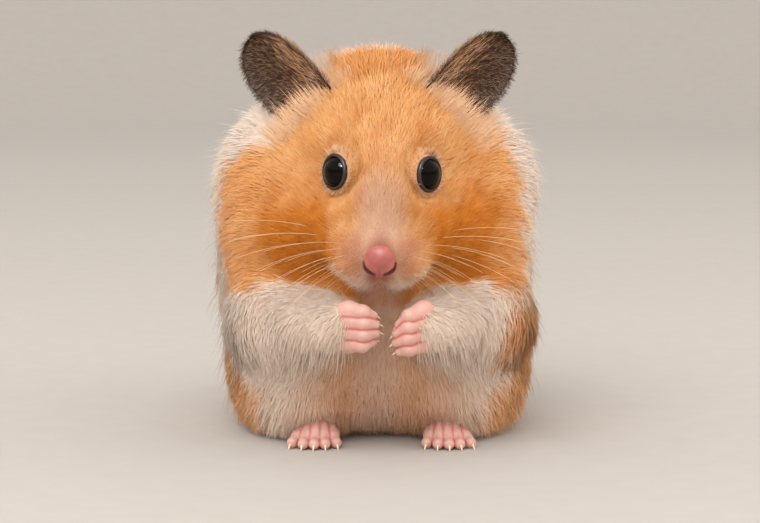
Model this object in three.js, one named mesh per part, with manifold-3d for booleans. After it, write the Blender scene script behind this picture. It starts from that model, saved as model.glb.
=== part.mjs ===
// A life-size still model of an adult syrian hamster, sitting up on its haunches with its
// forepaws held together under its mouth. Millimetres. +Z is up, the hamster faces -Y, and its
// left side is at +X. The origin is on the floor, under the middle of the model.
//
// The flesh is one smooth shape, a distance field blended from rounded masses. It is meshed once
// for each region and parted there by thin cuts. Its outline is that of the tips of the coat.

import * as THREE from "three";
import { mergeVertices } from "three/addons/utils/BufferGeometryUtils.js";
import Module from "manifold-3d";

const wasm = await Module();
wasm.setup();

// ---------------------------------------------------------------- driving dimensions

const GAP = 0.3; // clear space left by every cut between two pieces

const BODY_HALF_WIDTH = 34.2; // at the flanks, out to the tips of the coat
const NAPE_HEIGHT = 80; // the highest point of the hunched back
const RUMP_Y = 42; // the rearmost point of the rump
const EYE_MID = [0.1, -24.5, 57.2]; // half-way between the two eyes
const HEAD_PITCH = 38; // degrees that the nose points below the level
const HEAD_ROLL = 1.5; // degrees that the head leans to its left
const EYE_RADIUS = 3.65;
const EYE_SPREAD = 8; // from the middle of the face to the middle of an eye
const EAR_LENGTH = 20.4;
const EAR_OUTER_WIDTH = 9.6; // from its middle line to its outer margin
const EAR_INNER_WIDTH = 8.8; // from its middle line to the margin next to the crown
const EAR_THICKNESS = 1.2;
const EAR_ROOT = [14.3, -14.1, 68.9]; // of the left ear, whose middle is at EAR_MID
const EAR_MID = -0.6; // the ears stand a little to the hamster's right
const EAR_TURN = 22.6; // degrees that its hollow is turned outwards
const EAR_SPLAY = 46; // degrees that its tip leans outwards
const PAW_Z = 27; // the height of the forepaws' knuckles
const HIND_FOOT_LENGTH = 18;
const CLAW_LENGTH = 2.1; // of a forepaw's claws, from inside the digit to the point

const LEFT = 1; // the sign of X on the hamster's left side
const RIGHT = -1;
const SIDES = [
  ["left", LEFT],
  ["right", RIGHT],
];

// ---------------------------------------------------------------- distance fields

// A field is a function of x, y, z that is negative inside its shape, in millimetres.

const radians = THREE.MathUtils.degToRad;

// An ellipsoid's distance is its size in its own scale times that scale's local slope.
function blob([cx, cy, cz], [rx, ry, rz]) {
  return (x, y, z) => {
    const [u, v, w] = [(x - cx) / rx, (y - cy) / ry, (z - cz) / rz];
    const size = Math.hypot(u, v, w);
    const slope = Math.hypot(u / rx, v / ry, w / rz);
    return slope < 1e-9 ? -Math.min(rx, ry, rz) : (size * (size - 1)) / slope;
  };
}

// A limb is a round rod whose radius goes evenly from ra at a to rb at b.
function limb(a, b, ra, rb) {
  const [dx, dy, dz] = [b[0] - a[0], b[1] - a[1], b[2] - a[2]];
  const long = dx * dx + dy * dy + dz * dz;
  return (x, y, z) => {
    const [px, py, pz] = [x - a[0], y - a[1], z - a[2]];
    const t = Math.min(1, Math.max(0, (px * dx + py * dy + pz * dz) / long));
    return Math.hypot(px - t * dx, py - t * dy, pz - t * dz) - ra - t * (rb - ra);
  };
}

// Fields joined with a fillet about as wide as soft.
function blend(soft, ...fields) {
  return (x, y, z) => {
    let near = fields[0](x, y, z);
    for (let i = 1; i < fields.length; i++) {
      const next = fields[i](x, y, z);
      const lap = Math.max(soft - Math.abs(near - next), 0) / soft;
      near = Math.min(near, next) - (lap * lap * soft) / 4;
    }
    return near;
  };
}

// A field with another one pressed into it, with a rounded edge.
function press(soft, field, tool) {
  return (x, y, z) => {
    const [a, b] = [field(x, y, z), -tool(x, y, z)];
    const lap = Math.max(soft - Math.abs(a - b), 0) / soft;
    return Math.max(a, b) + (lap * lap * soft) / 4;
  };
}

// A field drawn in a frame of its own, and placed by that frame's rigid matrix.
function placed(matrix, field) {
  const e = matrix.clone().invert().elements;
  return (x, y, z) =>
    field(
      e[0] * x + e[4] * y + e[8] * z + e[12],
      e[1] * x + e[5] * y + e[9] * z + e[13],
      e[2] * x + e[6] * y + e[10] * z + e[14],
    );
}

const bothSides = (make) => SIDES.map(([, side]) => make(side));

// ---------------------------------------------------------------- solids

// A closed geometry as a solid.
function solidOf(geometry) {
  const bare = geometry.clone();
  bare.deleteAttribute("normal");
  bare.deleteAttribute("uv");
  const merged = mergeVertices(bare, 1e-4);
  return new wasm.Manifold(
    new wasm.Mesh({
      numProp: 3,
      vertProperties: merged.getAttribute("position").array,
      triVerts: new Uint32Array(merged.index.array),
    }),
  );
}

// A field's surface over a grid of cubic cells: one vertex in each cell that the surface passes
// through, moved on to it, and one quad across each grid edge that it crosses.
function meshed(field, low, high, cell, grow = 0) {
  const count = low.map((v, i) => Math.ceil((high[i] - v) / cell) + 1);
  const at = (i, axis) => low[axis] + i * cell;
  const index = (i, j, k) => i + count[0] * (j + count[1] * k);
  const value = new Float32Array(count[0] * count[1] * count[2]);
  const atRim = (i, axis) => i === 0 || i === count[axis] - 1;
  for (let k = 0; k < count[2]; k++)
    for (let j = 0; j < count[1]; j++)
      for (let i = 0; i < count[0]; i++) {
        const rim = atRim(i, 0) || atRim(j, 1) || atRim(k, 2); // always outside, so it closes
        value[index(i, j, k)] = rim ? cell : field(at(i, 0), at(j, 1), at(k, 2)) - grow;
      }

  const vertexOf = new Int32Array(value.length).fill(-1);
  const vertices = [];
  const corners = [0, 1, 2, 3, 4, 5, 6, 7].map((c) => [c & 1, (c >> 1) & 1, c >> 2]);
  const edges = corners.flatMap((a, i) =>
    corners.slice(i + 1).flatMap((b) => {
      const apart = Math.abs(a[0] - b[0]) + Math.abs(a[1] - b[1]) + Math.abs(a[2] - b[2]);
      return apart === 1 ? [[a, b]] : [];
    }),
  );

  // The mean of the places where the surface crosses this cell's edges, or null.
  function crossing(i, j, k) {
    const sum = [0, 0, 0];
    let n = 0;
    for (const [a, b] of edges) {
      const va = value[index(i + a[0], j + a[1], k + a[2])];
      const vb = value[index(i + b[0], j + b[1], k + b[2])];
      if (va < 0 === vb < 0) continue;
      const t = va / (va - vb);
      for (let d = 0; d < 3; d++) sum[d] += a[d] + t * (b[d] - a[d]);
      n += 1;
    }
    return n ? sum.map((s, d) => at([i, j, k][d] + s / n, d)) : null;
  }

  // Moves a point to the surface along the field's slope, and keeps it in its cell.
  function settle(point, home) {
    const step = cell / 50;
    for (let turn = 0; turn < 4; turn++) {
      const here = field(...point) - grow;
      const slope = [0, 1, 2].map((d) => {
        const ahead = [...point];
        ahead[d] += step;
        return (field(...ahead) - grow - here) / step;
      });
      const steep = Math.max(slope[0] ** 2 + slope[1] ** 2 + slope[2] ** 2, 0.1);
      for (let d = 0; d < 3; d++) {
        const floor = at(home[d] + 0.03, d);
        const moved = point[d] - (here * slope[d]) / steep;
        point[d] = Math.min(Math.max(moved, floor), floor + 0.94 * cell);
      }
    }
    return point;
  }

  for (let k = 0; k < count[2] - 1; k++)
    for (let j = 0; j < count[1] - 1; j++)
      for (let i = 0; i < count[0] - 1; i++) {
        const found = crossing(i, j, k);
        if (!found) continue;
        vertexOf[index(i, j, k)] = vertices.length / 3;
        vertices.push(...settle(found, [i, j, k]));
      }

  const triangles = [];
  const apart = (a, b) =>
    Math.hypot(...[0, 1, 2].map((d) => vertices[3 * a + d] - vertices[3 * b + d]));
  for (let k = 0; k < count[2] - 1; k++)
    for (let j = 0; j < count[1] - 1; j++)
      for (let i = 0; i < count[0] - 1; i++)
        for (let axis = 0; axis < 3; axis++) {
          const here = [i, j, k];
          const next = [...here];
          next[axis] += 1;
          const inside = value[index(...here)] < 0;
          if (inside === value[index(...next)] < 0) continue;
          const [u, v] = [(axis + 1) % 3, (axis + 2) % 3]; // a crossed edge is never on the rim
          const ring = [[0, 0], [1, 0], [1, 1], [0, 1]].map(([du, dv]) => {
            const c = [...here];
            c[u] -= du;
            c[v] -= dv;
            return vertexOf[index(...c)];
          });
          if (!inside) ring.reverse();
          const [a, b, c, d] = ring;
          if (apart(a, c) < apart(b, d)) triangles.push(a, b, c, a, c, d);
          else triangles.push(b, c, d, b, d, a);
        }
  const geometry = new THREE.BufferGeometry();
  geometry.setAttribute("position", new THREE.Float32BufferAttribute(vertices, 3));
  geometry.setIndex(triangles);
  return solidOf(geometry);
}

// The largest body of a solid, without the crumbs that a cut can leave.
function largest(solid) {
  return solid.decompose().reduce((a, b) => (b.volume() > a.volume() ? b : a));
}

// A finished piece as a named mesh with its own material.
function piece(name, solid, material) {
  const made = largest(solid).getMesh();
  const geometry = new THREE.BufferGeometry();
  const places = new Float32Array(made.numVert * 3);
  for (let i = 0; i < made.numVert; i++)
    places.set(made.vertProperties.subarray(i * made.numProp, i * made.numProp + 3), i * 3);
  geometry.setAttribute("position", new THREE.BufferAttribute(places, 3));
  geometry.setIndex(new THREE.BufferAttribute(made.triVerts, 1));
  const mesh = new THREE.Mesh(geometry, material);
  mesh.name = name;
  return mesh;
}

// ---------------------------------------------------------------- finishes

const finish = (color, roughness) =>
  new THREE.MeshStandardMaterial({ color, roughness, metalness: 0 });
const goldenFur = finish("#d9904f", 0.8);
const whiteFur = finish("#e6dbd0", 0.8);
const earSkin = finish("#6f5a51", 0.7);
const pinkSkin = finish("#dba59c", 0.55);
const noseSkin = finish("#c47a74", 0.45);
const clawHorn = finish("#ead2b4", 0.4);
const eyeGloss = finish("#0b0908", 0.08);

// ---------------------------------------------------------------- the head's masses

// The head's own frame has its origin between the eyes, its nose along -Y and its crown along +Z.
const headPlace = new THREE.Matrix4()
  .makeTranslation(...EYE_MID)
  .multiply(new THREE.Matrix4().makeRotationY(radians(HEAD_ROLL)))
  .multiply(new THREE.Matrix4().makeRotationX(radians(HEAD_PITCH)));
const onHead = (...local) =>
  new THREE.Vector3(...local).applyMatrix4(headPlace).toArray();

const muzzle = placed(
  headPlace,
  blend(
    4,
    blend(
      4,
      limb([0, 0, -3], [0, -15, -6.8], 9.4, 5.2),
      ...bothSides((side) => blob([5 * side, -13, -9.5], [5.6, 6.9, 5])),
    ),
    blend(2, ...bothSides((side) => blob([9.6 * side, -5.5, -8.5], [6.4, 8.6, 8]))),
  ),
);
const cranium = placed(headPlace, blob([0, 9, -2.2], [16.3, 20, 12.2]));
const jawMass = placed(headPlace, blob([0, -7, -14.6], [6.2, 7.6, 4.4]));

// The full cheek pouches push the coat out to a broad, nearly square face. The right one is the
// fuller.
const CHEEK_SHIFT = -1.3;
const cheeks = blend(
  7,
  ...bothSides((side) => blob([17 * side + CHEEK_SHIFT, -5.5, 51], [12.6, 14, 13.5])),
  ...bothSides((side) => blob([17.2 * side + CHEEK_SHIFT, -7.5, 42.5], [14.2, 15, 12])),
  blob([CHEEK_SHIFT, -14, 38], [13, 12, 9.5]),
);

// Each eye bulges out of a shallow dish in the coat, and looks outwards and a little ahead.
const EYE_AXIS = [0.77, -0.465, 0.43]; // in the head's frame, on its left side
const eyeLocal = (side, along) =>
  [EYE_SPREAD, -1.6, 1.2].map((v, i) => (v + along * EYE_AXIS[i]) * (i ? 1 : side));
const eyeDish = placed(
  headPlace,
  blend(1, ...bothSides((side) => blob(eyeLocal(side, 8.6), [8, 8, 8]))),
);
const cheekFronts = blend(
  6,
  ...bothSides((side) => blob([15.5 * side - 0.6, -20.5, 44.5], [6.5, 6, 8.5])),
);
const headMass = blend(6, blend(7, cranium, cheeks), cheekFronts, muzzle, jawMass);

// ---------------------------------------------------------------- the body's masses

const MID = -1.6; // the trunk's weight lies a little to the hamster's right
const neckMass = blend(
  10,
  blob([MID, -1, 50], [BODY_HALF_WIDTH - 4, 18, 21]),
  ...bothSides((side) => blob([20 * side - 0.6, 1, 55], [10.5, 13, 10.5])),
  blob([0, -1, NAPE_HEIGHT - 16.4], [19.5, 17, 17]),
);
const trunkMass = blend(
  12,
  blob([MID, RUMP_Y - 31, 35], [BODY_HALF_WIDTH, 31, 30]),
  blob([MID, RUMP_Y - 24, 26], [BODY_HALF_WIDTH - 4.5, 24, 26]),
  blob([MID, 8, 48.5], [BODY_HALF_WIDTH - 5, 27, 28]),
  blob([MID / 2, -6, 20], [26, 17.5, 20]),
  ...bothSides((side) => blob([16.2 * side - 0.6, 6, 9.2], [12, 25, 12])),
);

// Each foreleg: from the shoulder under the cheek, out to the elbow and in to the wrist.
const SHOULDER = [21, -7, 36];
const ELBOW = [24, -17, 26.5];
const WRIST = [9.6, -30.5, PAW_Z];
const mirrored = ([x, y, z], side) => [x * side, y, z];
const forelegMass = (side) =>
  blend(
    5,
    limb(mirrored(SHOULDER, side), mirrored(ELBOW, side), 10, 8.4),
    limb(mirrored(ELBOW, side), mirrored(WRIST, side), 8.2, 5.2),
  );

// Each thigh bulges forward over the hind foot.
const thighMass = (side) => blob([18.2 * side - 0.6, 0, 17], [12.6, 20.5, 17.5]);
const tailMass = limb([0, RUMP_Y - 4, 8.5], [0, RUMP_Y + 5, 4.6], 2.8, 1.5);

const bodyFlesh = blend(
  9,
  blend(10, neckMass, trunkMass, ...bothSides(thighMass)),
  ...bothSides(forelegMass),
);

// The folds that show between the masses: under the cheeks, and between the thighs.
const bellyCleft = limb([0, -27, 2], [0, -24.5, 15], 2.6, 0.6);
const flesh = press(2.6, press(3, blend(5, bodyFlesh, headMass), bellyCleft), eyeDish);

// ---------------------------------------------------------------- the parting of the flesh

// A region is a block turned about X by tilt degrees at its pivot: the flesh inside it is one
// piece, and what lies around it is cut away by the same block grown by the gap.
function block(pivot, tilt, low, high) {
  const [solid, clear] = [0, GAP].map((grow) => {
    const size = high.map((v, i) => v - low[i] + 2 * grow);
    const made = new THREE.BoxGeometry(...size);
    made.translate(...high.map((v, i) => (v + low[i]) / 2));
    made.rotateX(radians(tilt));
    made.translate(...pivot);
    return solidOf(made);
  });
  return { solid, clear };
}

const FAR = 60; // well outside the model
const aboveFloor = block([0, 0, 0], 0, [-FAR, -FAR, 0], [FAR, FAR, 2 * FAR]).solid;
const headBlock = block([0, -1, 57], 6, [-FAR, -FAR, -25.5], [FAR, 0, FAR]);
const jawBlock = block(EYE_MID, HEAD_PITCH, [-7.6, -FAR, -20.5], [7.6, -3, -13.4]);
const neckBlock = block([0, 13, 82], -17, [-FAR, -FAR, -50], [FAR, 0, FAR]);
const sideBlock = (side, pivot, tilt, low, high) =>
  side === LEFT
    ? block(pivot, tilt, low, high)
    : block(pivot, tilt, [-high[0], low[1], low[2]], [-low[0], high[1], high[2]]);
const forelegBlock = (side) =>
  sideBlock(side, [0, -12, 33], -6, [6.5, -FAR, -15], [FAR, 6, 0]);
const thighBlock = (side) => sideBlock(side, [0, 18, 0], 14, [7, -FAR, -FAR], [FAR, 0, 28]);

const FINE = 3.9; // the grid of the face and the forelegs
const COARSE = 6.2; // the grid of the body, whose curves are broad
const FRONT = [[-42, -48, 8], [42, 14, 92]];
const wholeFine = meshed(flesh, ...FRONT, FINE);
const clearFine = meshed(flesh, ...FRONT, FINE, GAP);
const wholeCoarse = meshed(flesh, [-44, -44, -12], [44, 58, 90], COARSE);
const standing = wholeCoarse.intersect(aboveFloor);

// ---------------------------------------------------------------- eyes, nose and jaw

const eyePlace = (side) => onHead(...eyeLocal(side, 0));
function ball(centre, radius, around, up) {
  const made = new THREE.SphereGeometry(radius, around, up);
  made.translate(...centre);
  return solidOf(made);
}

const nosePad = placed(
  headPlace,
  blend(
    1.2,
    blob([0, -18.4, -5.7], [3, 2.6, 2.2]),
    blob([0, -18.9, -7.5], [1.9, 2.1, 1.8]),
    ...bothSides((side) => blob([2.2 * side, -18.6, -6.5], [1.3, 1.9, 1.4])),
  ),
);

// ---------------------------------------------------------------- ears

// The ear is a thin cupped shell. s runs from its root to its tip and t across it, from the
// margin next to the crown to the outer margin, which both roll in near the root.
const EAR_ROWS = 8;
const EAR_COLUMNS = 8;
function earSurface(s, t, back) {
  const outer = EAR_OUTER_WIDTH * (0.69 + 0.31 * s);
  const inner = EAR_INNER_WIDTH * (0.78 + 0.22 * s);
  const width = (t > 0 ? outer : inner) * Math.sqrt(1 - s ** 2.5);
  const cup = (3.6 - 2.2 * s) * (1 - t * t) + 0.8 * (1 - s) * Math.abs(t);
  return new THREE.Vector3(
    width * t * (1 - 0.08 * t * t),
    cup + back * EAR_THICKNESS * (1.15 - 0.35 * s) + 2 * s * s,
    EAR_LENGTH * s,
  );
}
function earShell(side) {
  const stance = new THREE.Matrix4()
    .makeTranslation(EAR_MID + EAR_ROOT[0] * side, EAR_ROOT[1], EAR_ROOT[2])
    .multiply(new THREE.Matrix4().makeRotationZ(radians(EAR_TURN * side)))
    .multiply(new THREE.Matrix4().makeRotationY(radians(EAR_SPLAY * side)));
  const points = [];
  const grid = (back) => {
    const first = points.length / 3;
    for (let i = 0; i <= EAR_ROWS; i++)
      for (let j = 0; j <= EAR_COLUMNS; j++) {
        const s = 0.995 * Math.sin(((i / EAR_ROWS) * Math.PI) / 2) ** 1.15;
        const t = -Math.cos((Math.PI * j) / EAR_COLUMNS);
        const point = earSurface(s, t, back).multiply(new THREE.Vector3(side, 1, 1));
        points.push(...point.applyMatrix4(stance).toArray());
      }
    return (i, j) => first + i * (EAR_COLUMNS + 1) + j;
  };
  const [front, rear] = [grid(0), grid(1)];
  const triangles = [];
  const quad = (a, b, c, d) => triangles.push(a, b, c, a, c, d);
  for (let i = 0; i < EAR_ROWS; i++) {
    for (let j = 0; j < EAR_COLUMNS; j++) {
      quad(front(i, j), front(i, j + 1), front(i + 1, j + 1), front(i + 1, j));
      quad(rear(i, j + 1), rear(i, j), rear(i + 1, j), rear(i + 1, j + 1));
    }
    quad(front(i, 0), front(i + 1, 0), rear(i + 1, 0), rear(i, 0));
    const last = EAR_COLUMNS;
    quad(front(i + 1, last), front(i, last), rear(i, last), rear(i + 1, last));
  }
  for (let j = 0; j < EAR_COLUMNS; j++) {
    const tip = EAR_ROWS;
    quad(front(0, j + 1), front(0, j), rear(0, j), rear(0, j + 1));
    quad(front(tip, j), front(tip, j + 1), rear(tip, j + 1), rear(tip, j));
  }
  if (side === RIGHT) triangles.reverse(); // the mirrored shell's faces still look out
  const geometry = new THREE.BufferGeometry();
  geometry.setAttribute("position", new THREE.Float32BufferAttribute(points, 3));
  geometry.setIndex(triangles);
  return solidOf(geometry);
}

// ---------------------------------------------------------------- paws

// A forepaw: a small palm with four curled digits, one above the other, the tips inward.
const DIGITS = 4;
const forepawPlace = (side) => [side === LEFT ? 6.2 : -4.4, -32.4, PAW_Z];
function forepawDigits(side) {
  const [px, py, pz] = forepawPlace(side);
  const droop = side === LEFT ? 2.2 : 0.3;
  return Array.from({ length: DIGITS }, (_, i) => {
    const rise = 3.7 - 2.4 * i;
    const long = [0.84, 1, 1, 0.8][i];
    const knuckle = [px + side * 2, py - 0.6, pz + rise];
    const middle = [px - side * 0.8 * long, py - 2.6 * long, pz + rise * 0.95 - droop * 0.4];
    const tip = [px - side * 3.5 * long, py - 1.7 * long, pz + rise * 0.88 - droop];
    return { knuckle, middle, tip };
  });
}
function forepawField(side) {
  const [px, py, pz] = forepawPlace(side);
  const palm = blob([px + side * 1.8, py + 1.2, pz], [2.8, 2.4, 4.6]);
  const wrist = limb([px + side * 3, py + 1.5, pz], mirrored(WRIST, side), 3, 3.2);
  const digits = forepawDigits(side).map(({ knuckle, middle, tip }) =>
    blend(0.5, limb(knuckle, middle, 1.15, 1.05), limb(middle, tip, 1.05, 0.85)),
  );
  return blend(0.5, blend(2, palm, wrist), ...digits);
}

// A hind foot: a long flat sole with five toes.
const TOES = 5;
function hindToes(side) {
  return Array.from({ length: TOES }, (_, i) => {
    const spread = i - 2;
    const long = [0.74, 0.95, 1, 0.95, 0.7][i];
    const root = [side * (13.5 + spread * 1.75), -19, 2.2];
    const tip = [side * (13.9 + spread * 2.55), -19 - 6.4 * long, 1.3];
    return { root, tip };
  });
}
function hindFootField(side) {
  const heel = [side * 12.5, -22 + HIND_FOOT_LENGTH, 2.2];
  const ball = [side * 13.5, -18.5, 2.2];
  const sole = blend(2, limb(heel, ball, 3, 3.6), blob([side * 13.5, -18, 2], [5, 4, 2.8]));
  return blend(0.8, sole, ...hindToes(side).map(({ root, tip }) => limb(root, tip, 1.5, 1.15)));
}

// A claw is a short cone from inside its digit's tip, bent down by sag at its point.
function claw(tip, ahead, sag, length, radius) {
  const made = new THREE.ConeGeometry(radius, length, 6, 2);
  made.translate(0, length / 2, 0);
  made.applyQuaternion(
    new THREE.Quaternion().setFromUnitVectors(
      new THREE.Vector3(0, 1, 0),
      new THREE.Vector3(...ahead).normalize(),
    ),
  );
  const places = made.getAttribute("position");
  for (let i = 0; i < places.count; i++) {
    const along = Math.hypot(places.getX(i), places.getY(i), places.getZ(i)) / length;
    places.setZ(i, places.getZ(i) - sag * along * along);
  }
  made.translate(...tip);
  return solidOf(made);
}
const towards = (from, to) => to.map((v, i) => v - from[i]);

// ---------------------------------------------------------------- assembly

const hamster = new THREE.Group();
const except = (solid, ...tools) => tools.reduce((left, tool) => left.subtract(tool), solid);
const span = (centre, reach) => [centre.map((v) => v - reach), centre.map((v) => v + reach)];

const eyes = SIDES.map(([name, side]) => ({
  name: "eye_" + name,
  solid: ball(eyePlace(side), EYE_RADIUS, 14, 9),
  socket: ball(eyePlace(side), EYE_RADIUS + GAP, 14, 9),
}));
const noseBox = span(onHead(0, -18, -5), 8);
const nose = meshed(nosePad, ...noseBox, 1.1);
const noseClear = meshed(nosePad, ...noseBox, 1.1, GAP);

const paws = SIDES.map(([name, side]) => {
  const limits = span(forepawPlace(side), 11);
  return {
    name: "forepaw_" + name,
    side,
    solid: meshed(forepawField(side), ...limits, 1.3),
    clear: meshed(forepawField(side), ...limits, 1.3, GAP),
    pocket: meshed(forepawField(side), ...limits, 2, 2 * GAP),
  };
});
const feet = SIDES.map(([name, side]) => {
  const limits = [[13.5 * side - 11, -31, -6], [13.5 * side + 11, 4, 10]];
  return {
    name: "hind_foot_" + name,
    side,
    solid: meshed(hindFootField(side), ...limits, 1.8).intersect(aboveFloor),
    clear: meshed(hindFootField(side), ...limits, 1.8, GAP),
    pocket: meshed(hindFootField(side), ...limits, 2.4, 2.4 * GAP),
  };
});
const tailLimits = [[-7, RUMP_Y - 12, -2], [7, RUMP_Y + 14, 16]];
const tail = meshed(tailMass, ...tailLimits, 1.7);
const tailClear = meshed(tailMass, ...tailLimits, 1.7, GAP);
const ears = SIDES.map(([name, side]) => ({
  name: "ear_" + name,
  solid: except(earShell(side), clearFine),
}));

// The face: what is set into it is cut out of it with a clear space all round.
const pawPockets = paws.map((p) => p.pocket);
const setIn = [noseClear, ...eyes.map((e) => e.socket), ...pawPockets];
const forelegBlocks = SIDES.map(([name, side]) => ({ name, ...forelegBlock(side) }));
const forelegsClear = forelegBlocks.map((b) => b.clear);
const face = except(wholeFine.intersect(headBlock.solid), ...forelegsClear, ...setIn);
hamster.add(piece("head", except(face, jawBlock.clear), goldenFur));
hamster.add(piece("jaw", face.intersect(jawBlock.solid), goldenFur));
hamster.add(piece("nose", nose, noseSkin));
for (const eye of eyes) hamster.add(piece(eye.name, eye.solid, eyeGloss));
for (const ear of ears) hamster.add(piece(ear.name, ear.solid, earSkin));

// The body, from the forelegs back.
const forequarters = except(wholeFine, ...pawPockets);
for (const { name, solid } of forelegBlocks)
  hamster.add(piece("foreleg_" + name, forequarters.intersect(solid), whiteFur));
const body = except(standing, ...pawPockets, ...feet.map((f) => f.pocket));
const behind = except(body, headBlock.clear, ...forelegsClear);
hamster.add(piece("neck", behind.intersect(neckBlock.solid), whiteFur));
const thighBlocks = SIDES.map(([name, side]) => ({ name, ...thighBlock(side) }));
const hind = except(behind, neckBlock.clear);
for (const { name, solid } of thighBlocks)
  hamster.add(piece("hind_leg_" + name, hind.intersect(solid), goldenFur));
const trunk = except(hind, ...thighBlocks.map((b) => b.clear));
hamster.add(piece("trunk", except(trunk, tailClear), goldenFur));
hamster.add(piece("tail", tail, pinkSkin));
for (const paw of paws) hamster.add(piece(paw.name, paw.solid, pinkSkin));
for (const foot of feet) hamster.add(piece(foot.name, foot.solid, pinkSkin));

// The claws are numbered from the top digit down, and from the inner toe outwards.
for (const [name, side] of SIDES) {
  const paw = paws.find((p) => p.side === side);
  forepawDigits(side).forEach(({ middle, tip }, i) => {
    const horn = claw(tip, towards(middle, tip), 0.35, CLAW_LENGTH, 0.42);
    hamster.add(piece(`foreclaw_${name}_${i + 1}`, horn.subtract(paw.clear), clawHorn));
  });
  const foot = feet.find((f) => f.side === side);
  hindToes(side).forEach(({ root, tip }, i) => {
    const horn = claw(tip, towards(root, tip), 0.5, CLAW_LENGTH + 0.6, 0.5);
    hamster.add(piece(`hindclaw_${name}_${i + 1}`, horn.subtract(foot.clear), clawHorn));
  });
}

// The origin goes on the floor, under the middle of the model's bounding box.
const middle = new THREE.Box3().setFromObject(hamster).getCenter(new THREE.Vector3());
for (const mesh of hamster.children) mesh.geometry.translate(-middle.x, -middle.y, 0);

export default hamster;
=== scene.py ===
"""A life-size still model of a golden syrian hamster, sitting up with its forepaws at its mouth.

The frame's solids reach out to the tips of the coat. Here one skin lies inside them by the
coat's depth, tufts of fur cover it out to the solids' outline, and the ears, eyes, nose, paws,
claws, tail and whiskers are pieces of their own. Sizes are in millimetres in the maker's frame,
in which the solids were drawn, until make_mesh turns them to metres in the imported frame.
"""

import math

import bpy
import numpy as np
import openvdb as vdb
from mathutils import Matrix, Vector


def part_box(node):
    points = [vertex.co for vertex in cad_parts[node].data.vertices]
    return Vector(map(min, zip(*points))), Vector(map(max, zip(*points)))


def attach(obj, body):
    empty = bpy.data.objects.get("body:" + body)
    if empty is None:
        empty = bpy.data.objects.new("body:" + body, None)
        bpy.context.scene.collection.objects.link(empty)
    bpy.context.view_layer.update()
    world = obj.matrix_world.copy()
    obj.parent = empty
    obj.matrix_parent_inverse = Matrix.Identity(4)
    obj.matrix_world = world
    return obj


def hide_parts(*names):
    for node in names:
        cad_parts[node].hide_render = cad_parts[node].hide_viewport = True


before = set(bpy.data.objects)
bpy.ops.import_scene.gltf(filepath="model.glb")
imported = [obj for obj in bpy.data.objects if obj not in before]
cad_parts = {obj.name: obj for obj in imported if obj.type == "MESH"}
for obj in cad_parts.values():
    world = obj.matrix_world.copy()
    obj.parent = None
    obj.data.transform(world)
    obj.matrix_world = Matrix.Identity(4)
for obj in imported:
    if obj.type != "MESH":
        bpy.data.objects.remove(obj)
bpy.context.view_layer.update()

MM = 0.001
LEFT, RIGHT = 1, -1  # the sign of X on each side of the hamster
SIDES = {"left": LEFT, "right": RIGHT}
rng = np.random.default_rng(427)

# ------------------------------------------------------------------ the head's own frame

EYE_MID = (0.1, -24.5, 57.2)  # half-way between the two eyes
HEAD_PITCH, HEAD_ROLL = 38, 1.5  # degrees
EYE_RADIUS = 3.65
EYE_CENTRE = Vector((8.0, -1.6, 1.2))  # of the left eyeball, in the head's frame
EYE_AXIS = Vector((0.77, -0.465, 0.43)).normalized()  # the way the left eye looks

head = (
    Matrix.Translation(EYE_MID)
    @ Matrix.Rotation(math.radians(HEAD_ROLL), 4, "Y")
    @ Matrix.Rotation(math.radians(HEAD_PITCH), 4, "X")
)


def mirrored(place, side):
    return Vector((place[0] * side, place[1], place[2]))


def on_head(*local):
    """A place given in the head's frame, in the maker's frame."""
    return head @ Vector(local)


def middle_of(node):
    low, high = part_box(node)
    return (low + high) / 2 / MM


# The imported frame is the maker's frame moved level, by as much as the two eyes have moved.
shift = (middle_of("eye_left") + middle_of("eye_right")) / 2 - on_head(0, *EYE_CENTRE.yz)
NOSE_TIP = np.array(on_head(0, -20.5, -7))

# ------------------------------------------------------------------ camera

CAMERA_LENS = 105  # mm
CAMERA_TILT = math.radians(8)  # looks this far down
CAMERA_REACH = 443  # mm from the camera to the eyes, along its own axis
SENSOR_WIDTH = 36  # mm
RENDER_WIDTH = 760
EYES_RIGHT, EYES_UP = 1.5, 88  # pixels from the middle of the render to the eyes
EYES_AT = (0.0, -26.0, 57.0)
focal = CAMERA_LENS / SENSOR_WIDTH * RENDER_WIDTH  # in pixels
ahead = Vector((0, math.cos(CAMERA_TILT), -math.sin(CAMERA_TILT)))
up = Vector((0, math.sin(CAMERA_TILT), math.cos(CAMERA_TILT)))
camera = bpy.data.objects.new("camera", bpy.data.cameras.new("camera"))
camera.data.lens = CAMERA_LENS
camera.data.clip_start = 0.01
camera.location = MM * (
    Vector(EYES_AT)
    + shift
    - CAMERA_REACH * ahead
    - CAMERA_REACH / focal * (Vector((EYES_RIGHT, 0, 0)) + EYES_UP * up)
)
camera.rotation_euler = (math.radians(90) - CAMERA_TILT, 0, 0)
bpy.context.scene.collection.objects.link(camera)
bpy.context.scene.camera = camera
bpy.context.scene.view_settings.view_transform = "Standard"

# ------------------------------------------------------------------ distance fields

# A field takes x, y, z as arrays and gives the distance to its shape, negative inside.


def blob(centre, radii):
    def field(x, y, z):
        u, v, w = ((q - c) / r for q, c, r in zip((x, y, z), centre, radii))
        size = np.sqrt(u * u + v * v + w * w)
        slope = np.sqrt((u / radii[0]) ** 2 + (v / radii[1]) ** 2 + (w / radii[2]) ** 2)
        return size * (size - 1) / np.maximum(slope, 1e-6)

    return field


def ball(centre, radius):
    return blob(centre, (radius, radius, radius))


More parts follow.
